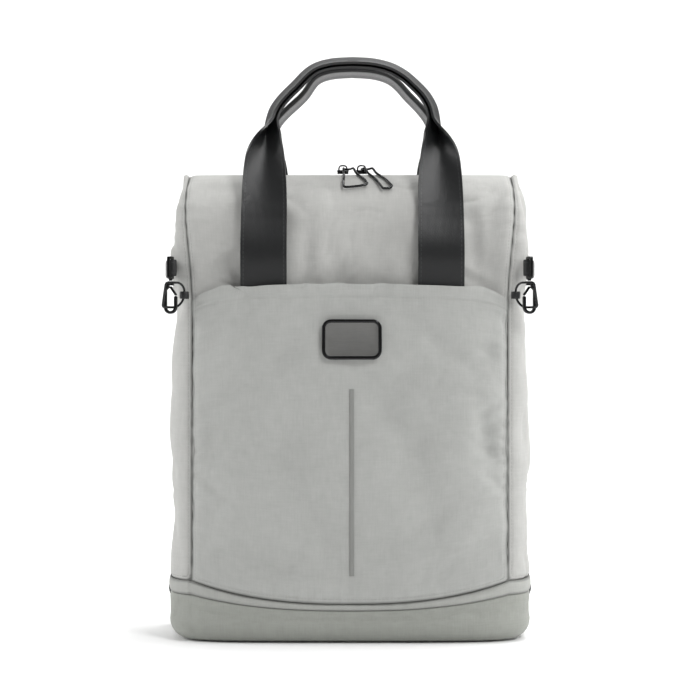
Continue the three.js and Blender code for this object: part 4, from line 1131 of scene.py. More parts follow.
@dataclass
class Shell:
    """The bag's body: base, seam band, front and back panels and the two gussets."""

    form: BagForm
    finishes: Finishes
    slack: Slack = Slack(11)
    columns: int = 360
    turn_run: float = 215.0

    def build(self) -> None:
        """Builds and dresses the body's panels."""
        self.wall("front_panel", 0, 2.4, Slack(21, 1.9, 1.7, 1.0, 1.9, 13.0))
        self.wall("right_gusset", 1, 2.6, Slack(34, 1.9, 2.2, 1.5, 1.9, 15.0))
        self.wall("back_panel", 2, 3.4, Slack(45, 1.4, 1.2, 0.6, 1.2, 14.0))
        self.wall("left_gusset", 3, 2.6, Slack(57, 1.9, 2.2, 1.5, 1.9, 15.0))
        self.band()
        self.base()

    def wall(self, node: str, start: int, step: float, slack: Slack) -> Piece:
        """Builds a panel of the wall, from one seam to the next.

        Args:
            node: The node that it stands for.
            start: The turn at which it begins.
            step: The size of its faces.
            slack: Its small relief.

        Returns:
            The panel.
        """
        form = self.form
        breadth = form.width * 0.87 if start % 2 == 0 else form.depth * 0.92
        columns, rows = round(breadth / step), round(form.height * 0.93 / step)
        turns = np.linspace(start, start + 1, columns + 1)[None, :]
        shares = np.linspace(0, 1, rows + 1)[:, None]
        band = form.band_height(np.clip(turns, start + 1e-6, start + 1 - 1e-6))
        level = blend(form.level_at(band + form.gap), 1.0, shares)
        height = form.table.at("height", level) * form.height
        across = (turns - start) * breadth + 0 * height
        low = height - band
        sides = np.minimum(across, breadth - across)
        relief = slack.waves(across, height) * smooth(sides, 0, 20)
        relief = relief * smooth(low, 0, 20) * smooth(form.height - height, 0, 14) + slack.seam(sides, height)
        relief = relief + slack.seam(low, across) * smooth(sides, 0, 12)
        grids = [self.edged(turns, level, -relief - inset, start) for inset in (0.0, form.cloth)]
        piece = Slab(grids[0], grids[1], seams="lrb").build()
        return Bench.dress(piece, self.finishes.sewn, node)

    def edged(self, turns: Grid, level: Grid, distance: Grid, start: int) -> Grid:
        """Returns a panel's points, with a gusset's edges moved clear of the seam."""
        form = self.form
        points = form.beside(turns, level, distance)
        if start % 2 == 0:
            return points
        for column, away in ((0, 1.0), (-1, -1.0)):
            seam, height = turns[0, column], level[:, column]
            rising = form.point(seam, height + 0.01) - form.point(seam, height - 0.01)
            sideways = unit(np.cross(rising, form.normal(seam, height)))
            points[:, column] += sideways * away * form.gap
        return points

    def around(self) -> Grid:
        """Returns the turns once round the body, as one row."""
        return np.linspace(0, 4, self.columns + 1)[:-1][None, :]

    def band(self) -> Piece:
        """Builds the band that runs round the body above the base and returns it."""
        form = self.form
        turns = self.around()
        shares = np.linspace(0, 1, 9)[:, None]
        height = blend(form.seam_height(turns), form.band_height(turns), shares)
        breadth = form.band_height(turns) - form.seam_height(turns)
        edge = np.minimum(shares, 1 - shares) * breadth
        draw = self.slack.seam(edge, turns * self.turn_run)
        crown = 0.5 - 0.5 * np.abs(2 * shares - 1) ** 3
        grids = [form.beside(turns, form.level_at(height), crown - 0.6 * draw - k * form.cloth) for k in (0, 1)]
        piece = Slab(grids[0], grids[1], closed=True, seams="bt").build()
        return Bench.dress(piece, self.finishes.band, "seam_band")

    def base(self) -> Piece:
        """Builds the base, a flat floor with a rounded edge and a wall up to the band, and returns it."""
        form = self.form
        turns = self.around()
        level = form.level_at(form.floor_radius)
        outside = form.point(turns, level)[0]
        out = unit(form.normal(turns, level)[0] * np.array([1.0, 1.0, 0.0]))
        arcs = np.radians(np.linspace(0, 90, 9))[:, None, None]
        shares = np.linspace(0, 1, 12)[1:, None]
        grids = []
        for inset in (0.0, form.cloth):
            radius = form.floor_radius - inset
            edge = outside[None] - out[None] * (form.floor_radius - radius * np.sin(arcs))
            edge[..., 2] = form.floor_radius - radius * np.cos(arcs)[..., 0]
            floor = [edge[0] * np.array([share, share, 1.0]) for share in (0.001, 0.35, 0.7, 0.93)]
            height = blend(form.floor_radius, form.seam_height(turns) - form.gap, shares)
            low = form.seam_height(turns) - form.gap - height
            dip = self.slack.seam(low, turns * self.turn_run)
            dip = dip + self.slack.waves(turns * self.turn_run, height * 1.6) * smooth(low, 0, 9)
            wall = form.beside(turns, form.level_at(height), -dip * smooth(shares, 0, 0.3) - inset)
            grids.append(np.concatenate((np.stack(floor), edge, wall)))
        piece = Slab(grids[0], grids[1], closed=True, seams="t").build()
        Bench.pick(piece, "VERT", lambda at: math.hypot(at.x, at.y) < 1.0)
        bpy.ops.mesh.remove_doubles(threshold=0.0004)
        bpy.ops.object.mode_set(mode="OBJECT")
        return Bench.dress(piece, self.finishes.base, "base")


@dataclass
class FrontPocket:
    """The slip pocket on the front, with its hem and the stripe down its middle."""

    form: BagForm
    finishes: Finishes
    top: float = 294.0
    bulge: float = 9.8
    sag: float = 12.0
    drop: float = 3.0
    lift: float = 2.4
    hem: float = 11.0
    stripe_width: float = 4.0
    stripe_top: float = 208.0
    stripe_bottom: float = 55.0
    stripe_thickness: float = 0.8
    offset: float = 1.5
    wander: float = 1.5
    slump: float = 1.15
    slack: Slack = Slack(83, 2.0, 1.1, 1.9, 1.3, 13.0)

    def build(self) -> None:
        """Builds and dresses the pocket and its stripe."""
        self.panel()
        self.stripe()

    def hem_height(self, share: Grid) -> Grid:
        """Returns the height of the pocket's top edge, a little lower at its corners."""
        side = np.abs(2 * share - 1)
        return self.top - self.sag * (0.25 * side**2 + 0.75 * side**8)

    def rise(self, share: Grid, up: Grid) -> Grid:
        """Returns how far the pocket's outside stands in front of the body."""
        across = 1 - np.abs(2 * share - 1) ** 5
        upward = smooth(up, -0.05, 0.34) * blend(1.0, 0.86, smooth(up, 0.7, 1))
        return self.lift + self.bulge * across * upward

    def point(self, share: Grid | float, up: Grid | float, distance: Grid | float = 0.0) -> Grid:
        """Returns points before the pocket, from its bottom seam, 0, to its hem, 1."""
        share, up = np.broadcast_arrays(np.asarray(share, float), np.asarray(up, float))
        form = self.form
        height = blend(form.band_height(np.clip(share, 0, 1 - 1e-6)) + form.gap, self.hem_height(share), up)
        dent = self.slump * form.dents(Face.POCKET, share, form.width, height)
        drawn = self.wander * (0.5 + 0.3 * np.sin(up * 31.0 + 5 * share) + 0.2 * np.sin(up * 57.0))
        drawn = drawn * np.abs(2 * share - 1) ** 8 * smooth(up, 0.02, 0.1) * smooth(1 - up, 0.02, 0.1)
        shrink = blend(0.5, share, 1 - (self.drop + 2 * drawn) / form.width)
        rise = self.rise(share, up)
        rise = np.maximum(rise - np.minimum(dent, rise - self.lift) + distance, -0.2)
        return form.beside(shrink, form.level_at(height), rise)

    def share_at(self, x: Grid | float) -> Grid:
        """Returns the place across the pocket of a distance to the right of its middle."""
        return 0.5 + np.asarray(x) / (self.form.table.at("front_seam", 0.5) * self.form.width)

    def up_at(self, height: Grid | float) -> Grid:
        """Returns the place up the pocket of a height."""
        low = self.form.band_height(0.5)
        return (np.asarray(height) - low) / (self.top - low)

    def relief(self, share: Grid, up: Grid) -> Grid:
        """Returns how deep the pocket's cloth lies below its form."""
        breadth = self.form.table.at("front_seam", 0.5) * self.form.width
        tall = self.top - self.form.band_height(0.5)
        across, height = share * breadth + 0 * up, up * tall + 0 * share
        sides = np.minimum(across, breadth - across)
        waves = self.slack.waves(across, height) * smooth(sides, 0, 22) * smooth(height, 0, 16)
        badge = np.exp(-(((across - breadth / 2) / 42) ** 4) - (((up - 0.83) * tall / 32) ** 4))
        pulled = self.slack.seam(sides, height) * (1 + 0.9 * (share > 0.5))
        hem = hump(height - tall + self.hem, 0.9) * 0.35 * smooth(sides, 0, 6)
        dip = self.slack.seam(height, across) * smooth(sides, 0, 12)
        deep = waves * (1 - badge) * (1 - 0.5 * smooth(up, 0.9, 1)) + pulled + hem + dip
        return np.minimum(deep, self.rise(share, up) - 1.2)

    def panel(self) -> Piece:
        """Builds the pocket's cloth and returns it."""
        shares = np.linspace(0, 1, 133)[None, :]
        even = np.linspace(0, 1, 128)
        ups = np.sort(np.concatenate((even, 1 - np.linspace(0, 0.07, 14)[1:-1])))[:, None]
        relief = self.relief(shares, ups)
        edge = 0.6 * smooth(ups, 1 - self.hem / 255, 1 - (self.hem - 1.5) / 255)
        outer = self.point(shares, ups, edge - relief)
        inner = self.point(shares, ups, -relief - self.form.cloth)
        piece = Slab(outer, inner, seams="lrb").build()
        return Bench.dress(piece, self.finishes.slip, "front_pocket")

    def stripe(self) -> Piece:
        """Builds the stripe down the pocket's middle and returns it."""
        places = np.linspace(-1, 1, 7)
        shares = self.share_at(places * self.stripe_width / 2 + self.offset)[None, :]
        ups = np.linspace(self.up_at(self.stripe_bottom), self.up_at(self.stripe_top), 90)[:, None]
        relief = self.relief(shares, ups)
        crown = self.stripe_thickness * (1 - 0.6 * np.abs(places) ** 6)
        outer = self.point(shares, ups, 0.2 + crown - relief)
        inner = self.point(shares, ups, 0.1 - relief)
        return Bench.dress(Slab(outer, inner).build(), self.finishes.stripe, "centre_stripe")


@dataclass
class Badge:
    """The blank badge on the pocket: a glossy rounded frame with a brushed plate in it."""

    pocket: FrontPocket
    finishes: Finishes
    width: float = 49.0
    height: float = 33.0
    radius: float = 7.6
    bar: float = 2.9
    depth: float = 3.2
    centre: float = 249.0

    def build(self) -> None:
        """Builds the frame and the plate where the solids stand."""
        low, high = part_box("badge_frame")
        heights = self.centre + np.array([-0.5, 0.5]) * self.height
        ends = self.pocket.point(self.pocket.share_at(self.pocket.offset), self.pocket.up_at(heights))
        lean = math.atan2(ends[1, 1] - ends[0, 1], self.height)
        frame = Matrix.Translation((low + high) / 2) @ Matrix.Rotation(math.pi / 2 - lean, 4, "X")
        border = Bench.border(self.width, self.height, self.radius, self.bar, self.depth, 0.9)
        Bench.dress(Bench.soften(Bench.place(border, frame), 35), self.finishes.metal, "badge_frame")
        Bench.dress(Bench.soften(Bench.place(self.plate(), frame), 30), self.finishes.plate, "badge_plate")

    def plate(self) -> Piece:
        """Shapes the plate, with a shallow dished face, and returns it."""
        play = 2 * (self.bar + 0.05)
        piece = Bench.tile(self.width - play, self.height - play, self.radius - self.bar)
        bpy.ops.mesh.extrude_region_move(TRANSFORM_OT_translate={"value": (0, 0, self.depth / 2 * MM)})
        bpy.ops.mesh.inset(thickness=1.2 * MM)
        bpy.ops.transform.translate(value=(0, 0, -0.3 * MM))
        Bench.shut(piece)
        piece.location.z = -self.depth / 2 * MM
        return Bench.place(piece)


@dataclass(frozen=True)
class Stage:
    """A station of a handle's middle line.

    rise is a share of the way up from the foot, out of half the spacing, near of the way from the panel to the
    middle, and fold goes from 1, flat, to 0, folded in half.
    """

    rise: float
    out: float
    near: float
    fold: float


HANDLE_LINE = (
    Stage(0.0, 1.0, 0.0, 1.0),
    Stage(0.13, 1.0, 0.0, 1.0),
    Stage(0.26, 1.0, 0.0, 0.99),
    Stage(0.37, 1.0, 0.03, 0.95),
    Stage(0.46, 1.0, 0.11, 0.88),
    Stage(0.55, 1.0, 0.22, 0.76),
    Stage(0.63, 1.0, 0.34, 0.6),
    Stage(0.695, 1.0, 0.48, 0.36),
    Stage(0.75, 0.995, 0.62, 0.12),
    Stage(0.81, 0.965, 0.73, 0.0),
    Stage(0.862, 0.885, 0.81, 0.0),
    Stage(0.908, 0.76, 0.88, 0.0),
    Stage(0.948, 0.62, 0.93, 0.0),
    Stage(0.978, 0.45, 0.97, 0.0),
    Stage(0.995, 0.24, 0.99, 0.0),
    Stage(1.0, 0.0, 1.0, 0.0),
)


@dataclass
class CarryHandle:
    """A carrying handle: flat webbing at its feet, folded in half where the hand holds it."""

    form: BagForm
    finishes: Finishes
    name: str
    side: float
    reach: float = 99.5
    drop: float = 7.0
    pinch: float = 0.0
    spacing: float = 146.0
    offset: float = 2.0
    width: float = 38.0
    thickness: float = 2.0
    foot: float = 262.0
    spread: float = 30.0
    clearance: float = 0.4
    tilt: float = 24.0
    skew: float = 6.0
    bulge: float = 4.6
    bulge_height: float = 324.0
    bulge_reach: float = 24.0
    bend: float = 40.0
    stitch: float = 0.35
    line: Table = field(default_factory=lambda: Table(HANDLE_LINE))

    def middle(self, along: Grid) -> Grid:
        """Returns the middle line from 0, the left foot, to 1, the right foot."""
        form = self.form
        level = 1 - np.abs(2 * along - 1)
        top = form.height + self.reach - (0.0 if self.side < 0 else self.drop)
        height = blend(self.foot, top, self.line.at("rise", level))
        hand = np.where(along < 0.5, -1.0, 1.0)
        x = hand * self.line.at("out", level) * self.spacing / 2 + self.offset
        drawn = (hand < 0) * self.skew + self.pinch
        x = x - hand * drawn * hump(level - 0.72, 0.13)
        lift = self.clearance + self.thickness / 2
        low, bend = 0.95 * form.height, self.bend
        bent = np.where(height < low - bend, height, low - bend * np.exp(-np.maximum(height - low + bend, 0) / bend))
        panel = self.under(x, bent) + self.side * (lift + self.lifted(height))
        grip = self.side * (self.spread - self.width / 2) / 2
        straight = blend(panel, grip, self.line.at("near", level))
        clear = self.under(x, np.minimum(height, form.height - 1)) + self.side * (lift + 0.5)
        held = self.side * np.maximum(self.side * straight, self.side * clear)
        return np.stack((x, np.where(height > form.height + lift, straight, held), height), -1)

    def lifted(self, height: Grid) -> Grid:
        """Returns how far the webbing bulges off the bag at heights."""
        return self.bulge * hump(height - self.bulge_height, self.bulge_reach)

    def under(self, x: Grid, height: Grid) -> Grid:
        """Returns how far the face stands out under the webbing's breadth."""
        half = self.width / 2
        reaches = [self.side * self.form.face_at(x + edge * half, height, self.side) for edge in (-1, 0, 1)]
        return self.side * np.maximum.reduce(reaches)

    def build(self) -> None:
        """Builds and dresses the handle and its grip's stitches."""
        along = np.linspace(0, 1, 261)
        middle = self.middle(along)
        run = unit(self.middle(np.minimum(along + 0.004, 1)) - self.middle(np.maximum(along - 0.004, 0)))
        outward = unit(np.stack((-run[:, 2], 0 * along, run[:, 0]), -1))[:, None, :]
        fold = self.line.at("fold", 1 - np.abs(2 * along - 1))
        opened = (np.clip(fold, 0, 1) * math.pi / 2)[:, None]
        even = np.linspace(-1, 1, 27)
        arms = (np.sign(even) * np.abs(even) ** 1.5)[None, :]
        round_off = 0.004 + 0.5 * smooth(fold, 0.3, 0.9)[:, None]
        half = self.width / 2 * (np.sqrt(arms**2 + round_off) - np.sqrt(round_off))
        thin = (self.thickness + self.clearance) / 2 * smooth(np.abs(arms), 0, 0.09)
        thin = thin * smooth(1 - fold, 0, 0.3)[:, None]
        gape = 0.8 * (1 - fold[:, None]) * smooth(np.abs(arms), 0.6, 1)
        apart = np.maximum(thin + gape, np.abs(arms) * self.width / 2 * np.sin(opened)) * -np.sign(arms)
        turn = math.radians(self.tilt) * smooth(1 - fold, 0.2, 1)[:, None]
        deep = half * np.cos(opened)
        points = middle[:, None, :] + outward * (apart * np.cos(turn) - deep * np.sin(turn))[..., None]
        points[..., 1] += self.side * (deep * np.cos(turn) + apart * np.sin(turn))
        out = unit(np.cross(np.gradient(points, axis=1), np.gradient(points, axis=0))) * -self.side
        grids = [points + out * lift for lift in (self.thickness / 2, -self.thickness / 2)]
        if self.side > 0:
            grids = [grid[:, ::-1] for grid in grids]
        piece = Slab(grids[0], grids[1]).build()
        self.centre_map(piece, arms[0] * self.side)
        Bench.dress(piece, self.finishes.handle, self.name)
        self.bartack()
        if self.side > 0:
            self.foot_stitches()

    def centre_map(self, piece: Piece, arms: Grid) -> None:
        """Measures the webbing's map from its middle line.

        Args:
            piece: The handle.
            arms: The places of its columns, from -1 to 1.
        """
        layer = piece.data.uv_layers["cloth"].data
        values = np.zeros(2 * len(layer))
        layer.foreach_get("uv", values)
        values = values.reshape(-1, 2)
        values[:, 0] = arms[Bench.corners(piece) % len(arms)] * self.width / 2 * MM
        layer.foreach_set("uv", values.ravel())

    def bartack(self) -> Piece:
        """Builds the zigzag stitches across the grip's top and returns them."""
        middle = self.middle(np.linspace(0.49, 0.51, 19))
        layer = self.thickness + self.clearance / 2 + 0.25
        turn = math.radians(self.tilt)
        zigzag = []
        for count, point in enumerate(middle):
            deep = self.width / 2 - 4.0 - (3.2 if count % 2 else 0.0)
            sideways = self.side * (deep * math.cos(turn) + layer * math.sin(turn))
            upward = layer * math.cos(turn) - deep * math.sin(turn)
            zigzag.append((point[0], point[1] + sideways, point[2] + upward))
        piece = Bench.soften(Bench.wire(zigzag, self.stitch, closed=False, sides=2))
        return Bench.dress(piece, self.finishes.thread, name=f"{self.name}_stitches")

    def foot_stitches(self) -> Piece:
        """Builds the sewn box and cross that hold each foot and returns them."""
        half = self.width / 2 - 3.0
        low, high = self.foot + 3.0, self.foot + 3.0 + 2 * half
        corners = [(-half, low), (half, low), (half, high), (-half, high), (-half, low), (half, high), (half, low)]
        corners = np.array(corners + [(-half, high)])
        steps = np.linspace(0, len(corners) - 1, 10 * (len(corners) - 1) + 1)
        across, height = (np.interp(steps, np.arange(len(corners)), corners[:, k]) for k in (0, 1))
        rows = []
        for hand in (-1.0, 1.0):
            x = hand * self.spacing / 2 + self.offset
            panel = self.under(np.full_like(height, x), height)
            y = panel + self.side * (self.clearance + self.thickness + self.lifted(height) + 0.1)
            rows.append(Bench.wire(np.stack((x + across, y, height), -1), self.stitch, closed=False, sides=1))
        piece = Bench.soften(Bench.join(rows))
        return Bench.dress(piece, self.finishes.thread, name=f"{self.name}_foot_stitches")


@dataclass
class TopZip:
    """The zip in the ridge: its tape, coils, two sliders and their wire pulls."""

    form: BagForm
    finishes: Finishes
    inset: float = 9.0
    coil_height: float = 1.6
    tape: float = 1.4
    clearance: float = 0.4
    slider_width: float = 7.5
    slider_length: float = 10.0
    slider_height: float = 3.2
    bail: float = 4.6
    wire: float = 1.6
    tooth: float = 1.7

    def __post_init__(self) -> None:
        """Finds the zip's line and heights."""
        form = self.form
        self.reach = float(form.table.at("front_seam", 1.0)) * form.width / 2 - self.inset
        self.height = form.height - 0.5
        front, back = form.beside(0.5, 1, -form.cloth), form.beside(2.5, 1, -form.cloth)
        self.line = float(front[1] + back[1]) / 2
        self.foot = self.height + self.coil_height + self.clearance

    def build(self) -> None:
        """Builds and dresses the zip's pieces."""
        self.strip()
        self.coils()
        for side, place, width, length, lean in (
            (Side.LEFT, -6.0, 19.0, 36.0, 12.0),
            (Side.RIGHT, 9.8, 8.0, 42.0, 26.0),
        ):
            self.slider(side, place)
            self.pull(side, place, width, length, lean)

    def edges(self, x: Grid) -> tuple[Grid, Grid]:
        """Returns the tape's front and back edges at distances to the right."""
        form = self.form
        share = 0.5 + x / (2 * (self.reach + self.inset))
        front = form.beside(share, 1.0, -form.cloth)[..., 1] + 2 * self.clearance
        back = form.beside(3 - share, 1.0, -form.cloth)[..., 1] - 2 * self.clearance
        return front, back

    def strip(self) -> Piece:
        """Builds the woven tape and returns it."""
        end = self.reach + 0.8 * self.inset
        x = np.linspace(-end, end, 121)
        front, back = self.edges(x)
        across = np.linspace(0, 1, 15)[:, None]
        y = blend(front, back, across)
        middle = (front + back) / 2
        rise = 0.25 * np.sin(x / 9.0) * np.sin(across * math.pi) - 0.7 * hump(y - middle, 1.4)
        top = np.stack((x + 0 * y, y, self.height + rise - 0.3), -1)
        under = np.stack((x + 0 * y, y, self.height - self.tape + 0.6 * rise), -1)
        return Bench.dress(Slab(top, under).build(), self.finishes.tape, "top_zip")

    def coils(self) -> Piece:
        """Builds both rows of interlocked coil turns and returns them."""
        Bench.take()
        bpy.ops.mesh.primitive_torus_add(
            major_segments=8, minor_segments=5, major_radius=0.00105, minor_radius=0.00042
        )
        turn = bpy.context.object
        turn.rotation_euler = (0.0, math.pi / 2, 0.0)
        bpy.context.view_layer.update()
        Bench.place(turn)
        own = Bench.points(turn) / MM
        faces = np.array([face.vertices[:] for face in turn.data.polygons])
        bpy.data.objects.remove(turn)
        count = int(2 * (self.reach - 4) / self.tooth)
        points, quads = [], []
        for row, away in enumerate((-0.62, 0.62)):
            for step in range(count):
                x = -self.reach + 4 + (step + 0.5 * row) * self.tooth
                front, back = self.edges(np.array(x))
                quads.append(faces + len(own) * len(points))
                points.append(own * (1.0, 0.95, 0.7) + (x, float(front + back) / 2 + away, self.height - 0.3))
        piece = Bench.soften(Bench.mesh(np.concatenate(points), np.concatenate(quads)))
        return Bench.dress(piece, self.finishes.coil, name="zip_coils")

    def slider(self, side: Side, place: float) -> Piece:
        """Builds a slider: a waisted upper plate, a lower plate and an arched bail.

        Args:
            side: The pull that it carries.
            place: Its distance to the right of the middle.

        Returns:
            The slider.
        """
        half, tall = self.slider_length / 2, self.slider_height
        profile = [(-half, -3.0), (-half + 1.2, -3.75), (-1, -3.45), (half - 2.4, -2.9), (half, -1.9)]
        outline = profile + [(x, -y) for x, y in reversed(profile)]
        upper = Bench.plate(outline, 1.3, 0.45)
        Bench.place(upper, Matrix.Translation((0, 0, (tall - 0.65) * MM)))
        lower = Bench.plate([(x * 0.94, y * 0.9) for x, y in outline], tall - 1.1, 0.3)
        Bench.place(lower, Matrix.Translation((0, 0, (tall - 1.1) / 2 * MM)))
        leg = half - self.wire
        rises = ((1.0, -0.8), (0.95, 0.5 * self.bail), (0.5, 0.83 * self.bail))
        arch = [(-leg * share, 0, tall + rise) for share, rise in rises]
        arch += [(-x, y, z) for x, y, z in reversed(arch)]
        bail = Bench.wire(flowing(arch, 24), self.wire * 0.42, closed=False)
        piece = Bench.join([upper, lower, bail])
        Bench.place(piece, Matrix.Translation(Vector((place, self.line, self.foot)) * MM))
        return Bench.dress(Bench.soften(piece), self.finishes.metal, side.named("zip_slider"))

    def drape(self) -> Grid:
        """Returns the line that a pull lies on: over the ridge's edge and down the front."""
        gap = self.wire / 2 + self.clearance + 0.2
        rest = self.foot + self.slider_height + self.wire / 2 + self.clearance
        down = self.form.beside(0.5, np.linspace(0.995, 0.86, 9), gap)
        edge = self.line - self.slider_width / 2 - self.wire
        over = [(0, self.line, rest), (0, edge, rest), (0, edge - 2.5, self.form.height + gap + 1.6)]
        return flowing(over + [(0, *point[1:]) for point in down.tolist()], 240)

    def pull(self, side: Side, place: float, width: float, length: float, lean: float) -> Piece:
        """Builds a wire pull, an open leaf that narrows to its slider.

        Args:
            side: The slider that carries it.
            place: The slider's distance to the right.
            width: The leaf's breadth.
            length: The leaf's length.
            lean: Its lean to the right in degrees.

        Returns:
            The pull.
        """
        foot, waist = width / 2, 2.6 + (width / 2 - 2.6) * 0.55
        knots = [(-2.4, -2.4), (0, -3), (2.4, -2.4), (waist, length * 0.5), (foot, length * 0.86)]
        knots += [(foot * 0.86, length), (-foot * 0.86, length), (-foot, length * 0.86), (-waist, length * 0.5)]
        leaf = flowing(knots, 72, closed=True)
        turn = math.radians(lean)
        along = leaf[:, 1] * math.cos(turn) - leaf[:, 0] * math.sin(turn)
        across = leaf[:, 1] * math.sin(turn) + leaf[:, 0] * math.cos(turn)
        line = self.drape()
        run = run_of(line)
        y = np.interp(along, run, line[:, 1]) - np.minimum(along, 0)
        z = np.interp(along, run, line[:, 2])
        x = place + self.slider_length / 2 - self.wire + across
        piece = Bench.wire(np.stack((x, y, z), -1), self.wire * 0.66, sides=4)
        return Bench.dress(Bench.soften(piece), self.finishes.metal, side.named("zip_pull"))


def ribbon(
    line: Grid, out: Grid, width: float, thickness: float, bow: float = 0.0, columns: int = 9
) -> Piece:
    """Lays a strip of webbing along a line.

    Args:
        line: The strip's middle line.
        out: The direction out of its face at each point.
        width: Its width.
        thickness: Its thickness.
        bow: How far its edges curl back.
        columns: The points across it.

    Returns:
        The strip, its map's middle on its middle line.
    """
    run = unit(np.gradient(line, axis=0))
    sideways = unit(np.cross(run, out))
    face = unit(np.cross(sideways, run))
    across = np.linspace(-1, 1, columns)
    thin = 1 - 0.35 * np.abs(across) ** 8
    grids = []
    for lift in (thickness / 2, -thickness / 2):
        height = (lift * thin - bow * across**2)[None, :, None]
        grids.append(line[:, None] + sideways[:, None] * (across * width / 2)[None, :, None] + face[:, None] * height)
    return Slab(grids[0], grids[1], start=-width / 2).build()


@dataclass
class SideHardware:
    """The left side's ring on its tab, with the snap hook, its gate, its eye and its short strap."""

    form: BagForm
    finishes: Finishes
    ring_height: float = 285.6
    ring_width: float = 21.0
    ring_reach: float = 19.0
    ring_wire: float = 2.0
    ring_turn: float = 35.0
    ring_roll: float = 16.0
    stand_off: float = 5.6
    tab_width: float = 6.0
    narrow: float = 13.5
    thin: float = 1.6
    hook_width: float = 11.6
    hook_length: float = 27.0
    hook_thickness: float = 3.0
    bar: float = 2.4
    hook_turn: float = 20.0
    hook_offset: tuple[float, float, float] = (-10.86, -4.77, 11.4)
    eye_height: float = 18.5
    eye_depth: float = 9.4
    eye_bar: float = 2.2
    stem: float = 1.8
    gate_bar: float = 1.8
    pivot: tuple[float, float] = (0.4, -5.2)
    clearance: float = 0.4

    def __post_init__(self) -> None:
        """Finds the ring's and the hook's places."""
        level = self.form.level_at(self.ring_height)
        self.ring_place = self.form.beside(-0.012, level, self.stand_off)
        self.ring_place[2] = self.ring_height
        self.hook_place = self.ring_place + np.array(self.hook_offset)
        self.nose = -self.hook_length + self.hook_width / 2 + 9

    def build(self) -> None:
        """Builds the left pieces and their copies on the right."""
        finishes = self.finishes
        for node, piece, finish, body in (
            ("ring", self.ring(), finishes.metal, ""),
            ("ring_tab", self.tab(), finishes.narrow, ""),
            ("snap_hook", self.hook(), finishes.metal, ""),
            ("hook_gate", self.gate(), finishes.metal, "gate"),
            ("hook_eye", self.eye(), finishes.metal, ""),
            ("side_strap", self.strap(), finishes.narrow, ""),
        ):
            for side, each in Bench.pair(piece):
                Bench.dress(each, finish, side.named(node), side.named(body) if body else "root")

    def at_ring(self, turn: float) -> Matrix:
        """Returns the placing of what stands at the ring, turned about the upright."""
        return Matrix.Translation(Vector(self.ring_place) * MM) @ Matrix.Rotation(turn, 4, "Z")

    def at_hook(self) -> Matrix:
        """Returns the placing of the hook's pieces."""
        turn = Matrix.Rotation(math.radians(-self.hook_turn), 4, "Z")
        return Matrix.Translation(Vector(self.hook_place) * MM) @ turn

    def ring(self) -> Piece:
        """Builds the D-shaped ring of bent wire and returns it."""
        half, deep, bend, reach = self.ring_width / 2, self.ring_reach * 0.46, 2.0, self.ring_reach
        bow = [(-deep * (1 - math.cos(a)), 0, half * math.sin(a)) for a in np.radians(np.linspace(-90, 90, 25))]
        quarter = np.radians((0, 30, 60, 90))
        corner = [(-reach + bend * (1 - math.sin(a)), 0, half - bend * (1 - math.cos(a))) for a in quarter]
        loop = bow + corner + [(x, y, -z) for x, y, z in reversed(corner)]
        roll = Matrix.Rotation(math.radians(self.ring_roll), 4, "X")
        piece = Bench.wire(loop, self.ring_wire / 2, sides=5)
        return Bench.soften(Bench.place(piece, self.at_ring(math.radians(self.ring_turn)) @ roll))

    def tab(self) -> Piece:
        """Builds the tab: webbing that goes round the ring's bow and back to the seam."""
        radius = self.ring_wire / 2 + self.clearance + 0.9 + self.thin / 2
        leg, feet = self.stand_off - 0.5, self.thin / 2 + 0.1
        angles = np.radians(np.linspace(-200, 20, 29))
        loop = [(radius * math.cos(a), radius * math.sin(a), 0) for a in angles]
        line = [(-feet, leg, 0), (-feet, leg * 0.8, 0)] + loop[3:-3] + [(feet, leg * 0.8, 0), (feet, leg, 0)]
        line = flowing(line, 60)
        run = np.gradient(line, axis=0)
        out = np.stack((run[:, 1], -run[:, 0], 0 * run[:, 0]), -1)
        piece = ribbon(line, out, self.tab_width, self.thin, 0.1)
        facing = self.form.normal(-0.012, self.form.level_at(self.ring_height))
        return Bench.place(piece, self.at_ring(math.atan2(facing[0], -facing[1])))

    def hook(self) -> Piece:
        """Builds the hook's body: a swivel head, a spine, a round bow and a nose."""
        half = self.hook_width / 2
        inside, centre = half - self.bar, -self.hook_length + half
        notch = self.pivot[0] - self.gate_bar / 2 - self.clearance - 0.3
        roof = self.pivot[1] + self.gate_bar / 2 + self.clearance + 0.3
        down = np.radians(np.linspace(180, 360, 25))
        outline = [(-2, 0), (-half + 0.8, -2.6), (-half, -7), (-half, -12)]
        outline += [(half * math.cos(a), centre + half * math.sin(a)) for a in down]
        outline += [(half, self.nose - 1), (half - 0.9, self.nose), (inside, self.nose - 0.7)]
        outline += [(inside * math.cos(a), centre + inside * math.sin(a)) for a in reversed(down)]
        outline += [(-inside, -7.4), (notch, -5.6), (notch, roof), (3, roof), (2.4, -1.6), (2, 0)]
        plate = Bench.plate(outline, self.hook_thickness, 0.5)
        Bench.take()
        bpy.ops.mesh.primitive_cylinder_add(
            vertices=20, radius=0.0021, depth=0.0016, location=(0, -0.0009, 0), rotation=(math.pi / 2, 0, 0)
        )
        collar = Bench.place(bpy.context.object)
        Bench.modify(collar, "BEVEL", width=0.0005, segments=3, limit_method="ANGLE")
        piece = Bench.join([plate, collar])
        return Bench.soften(Bench.place(piece, self.at_hook() @ Matrix.Rotation(math.pi / 2, 4, "X")))

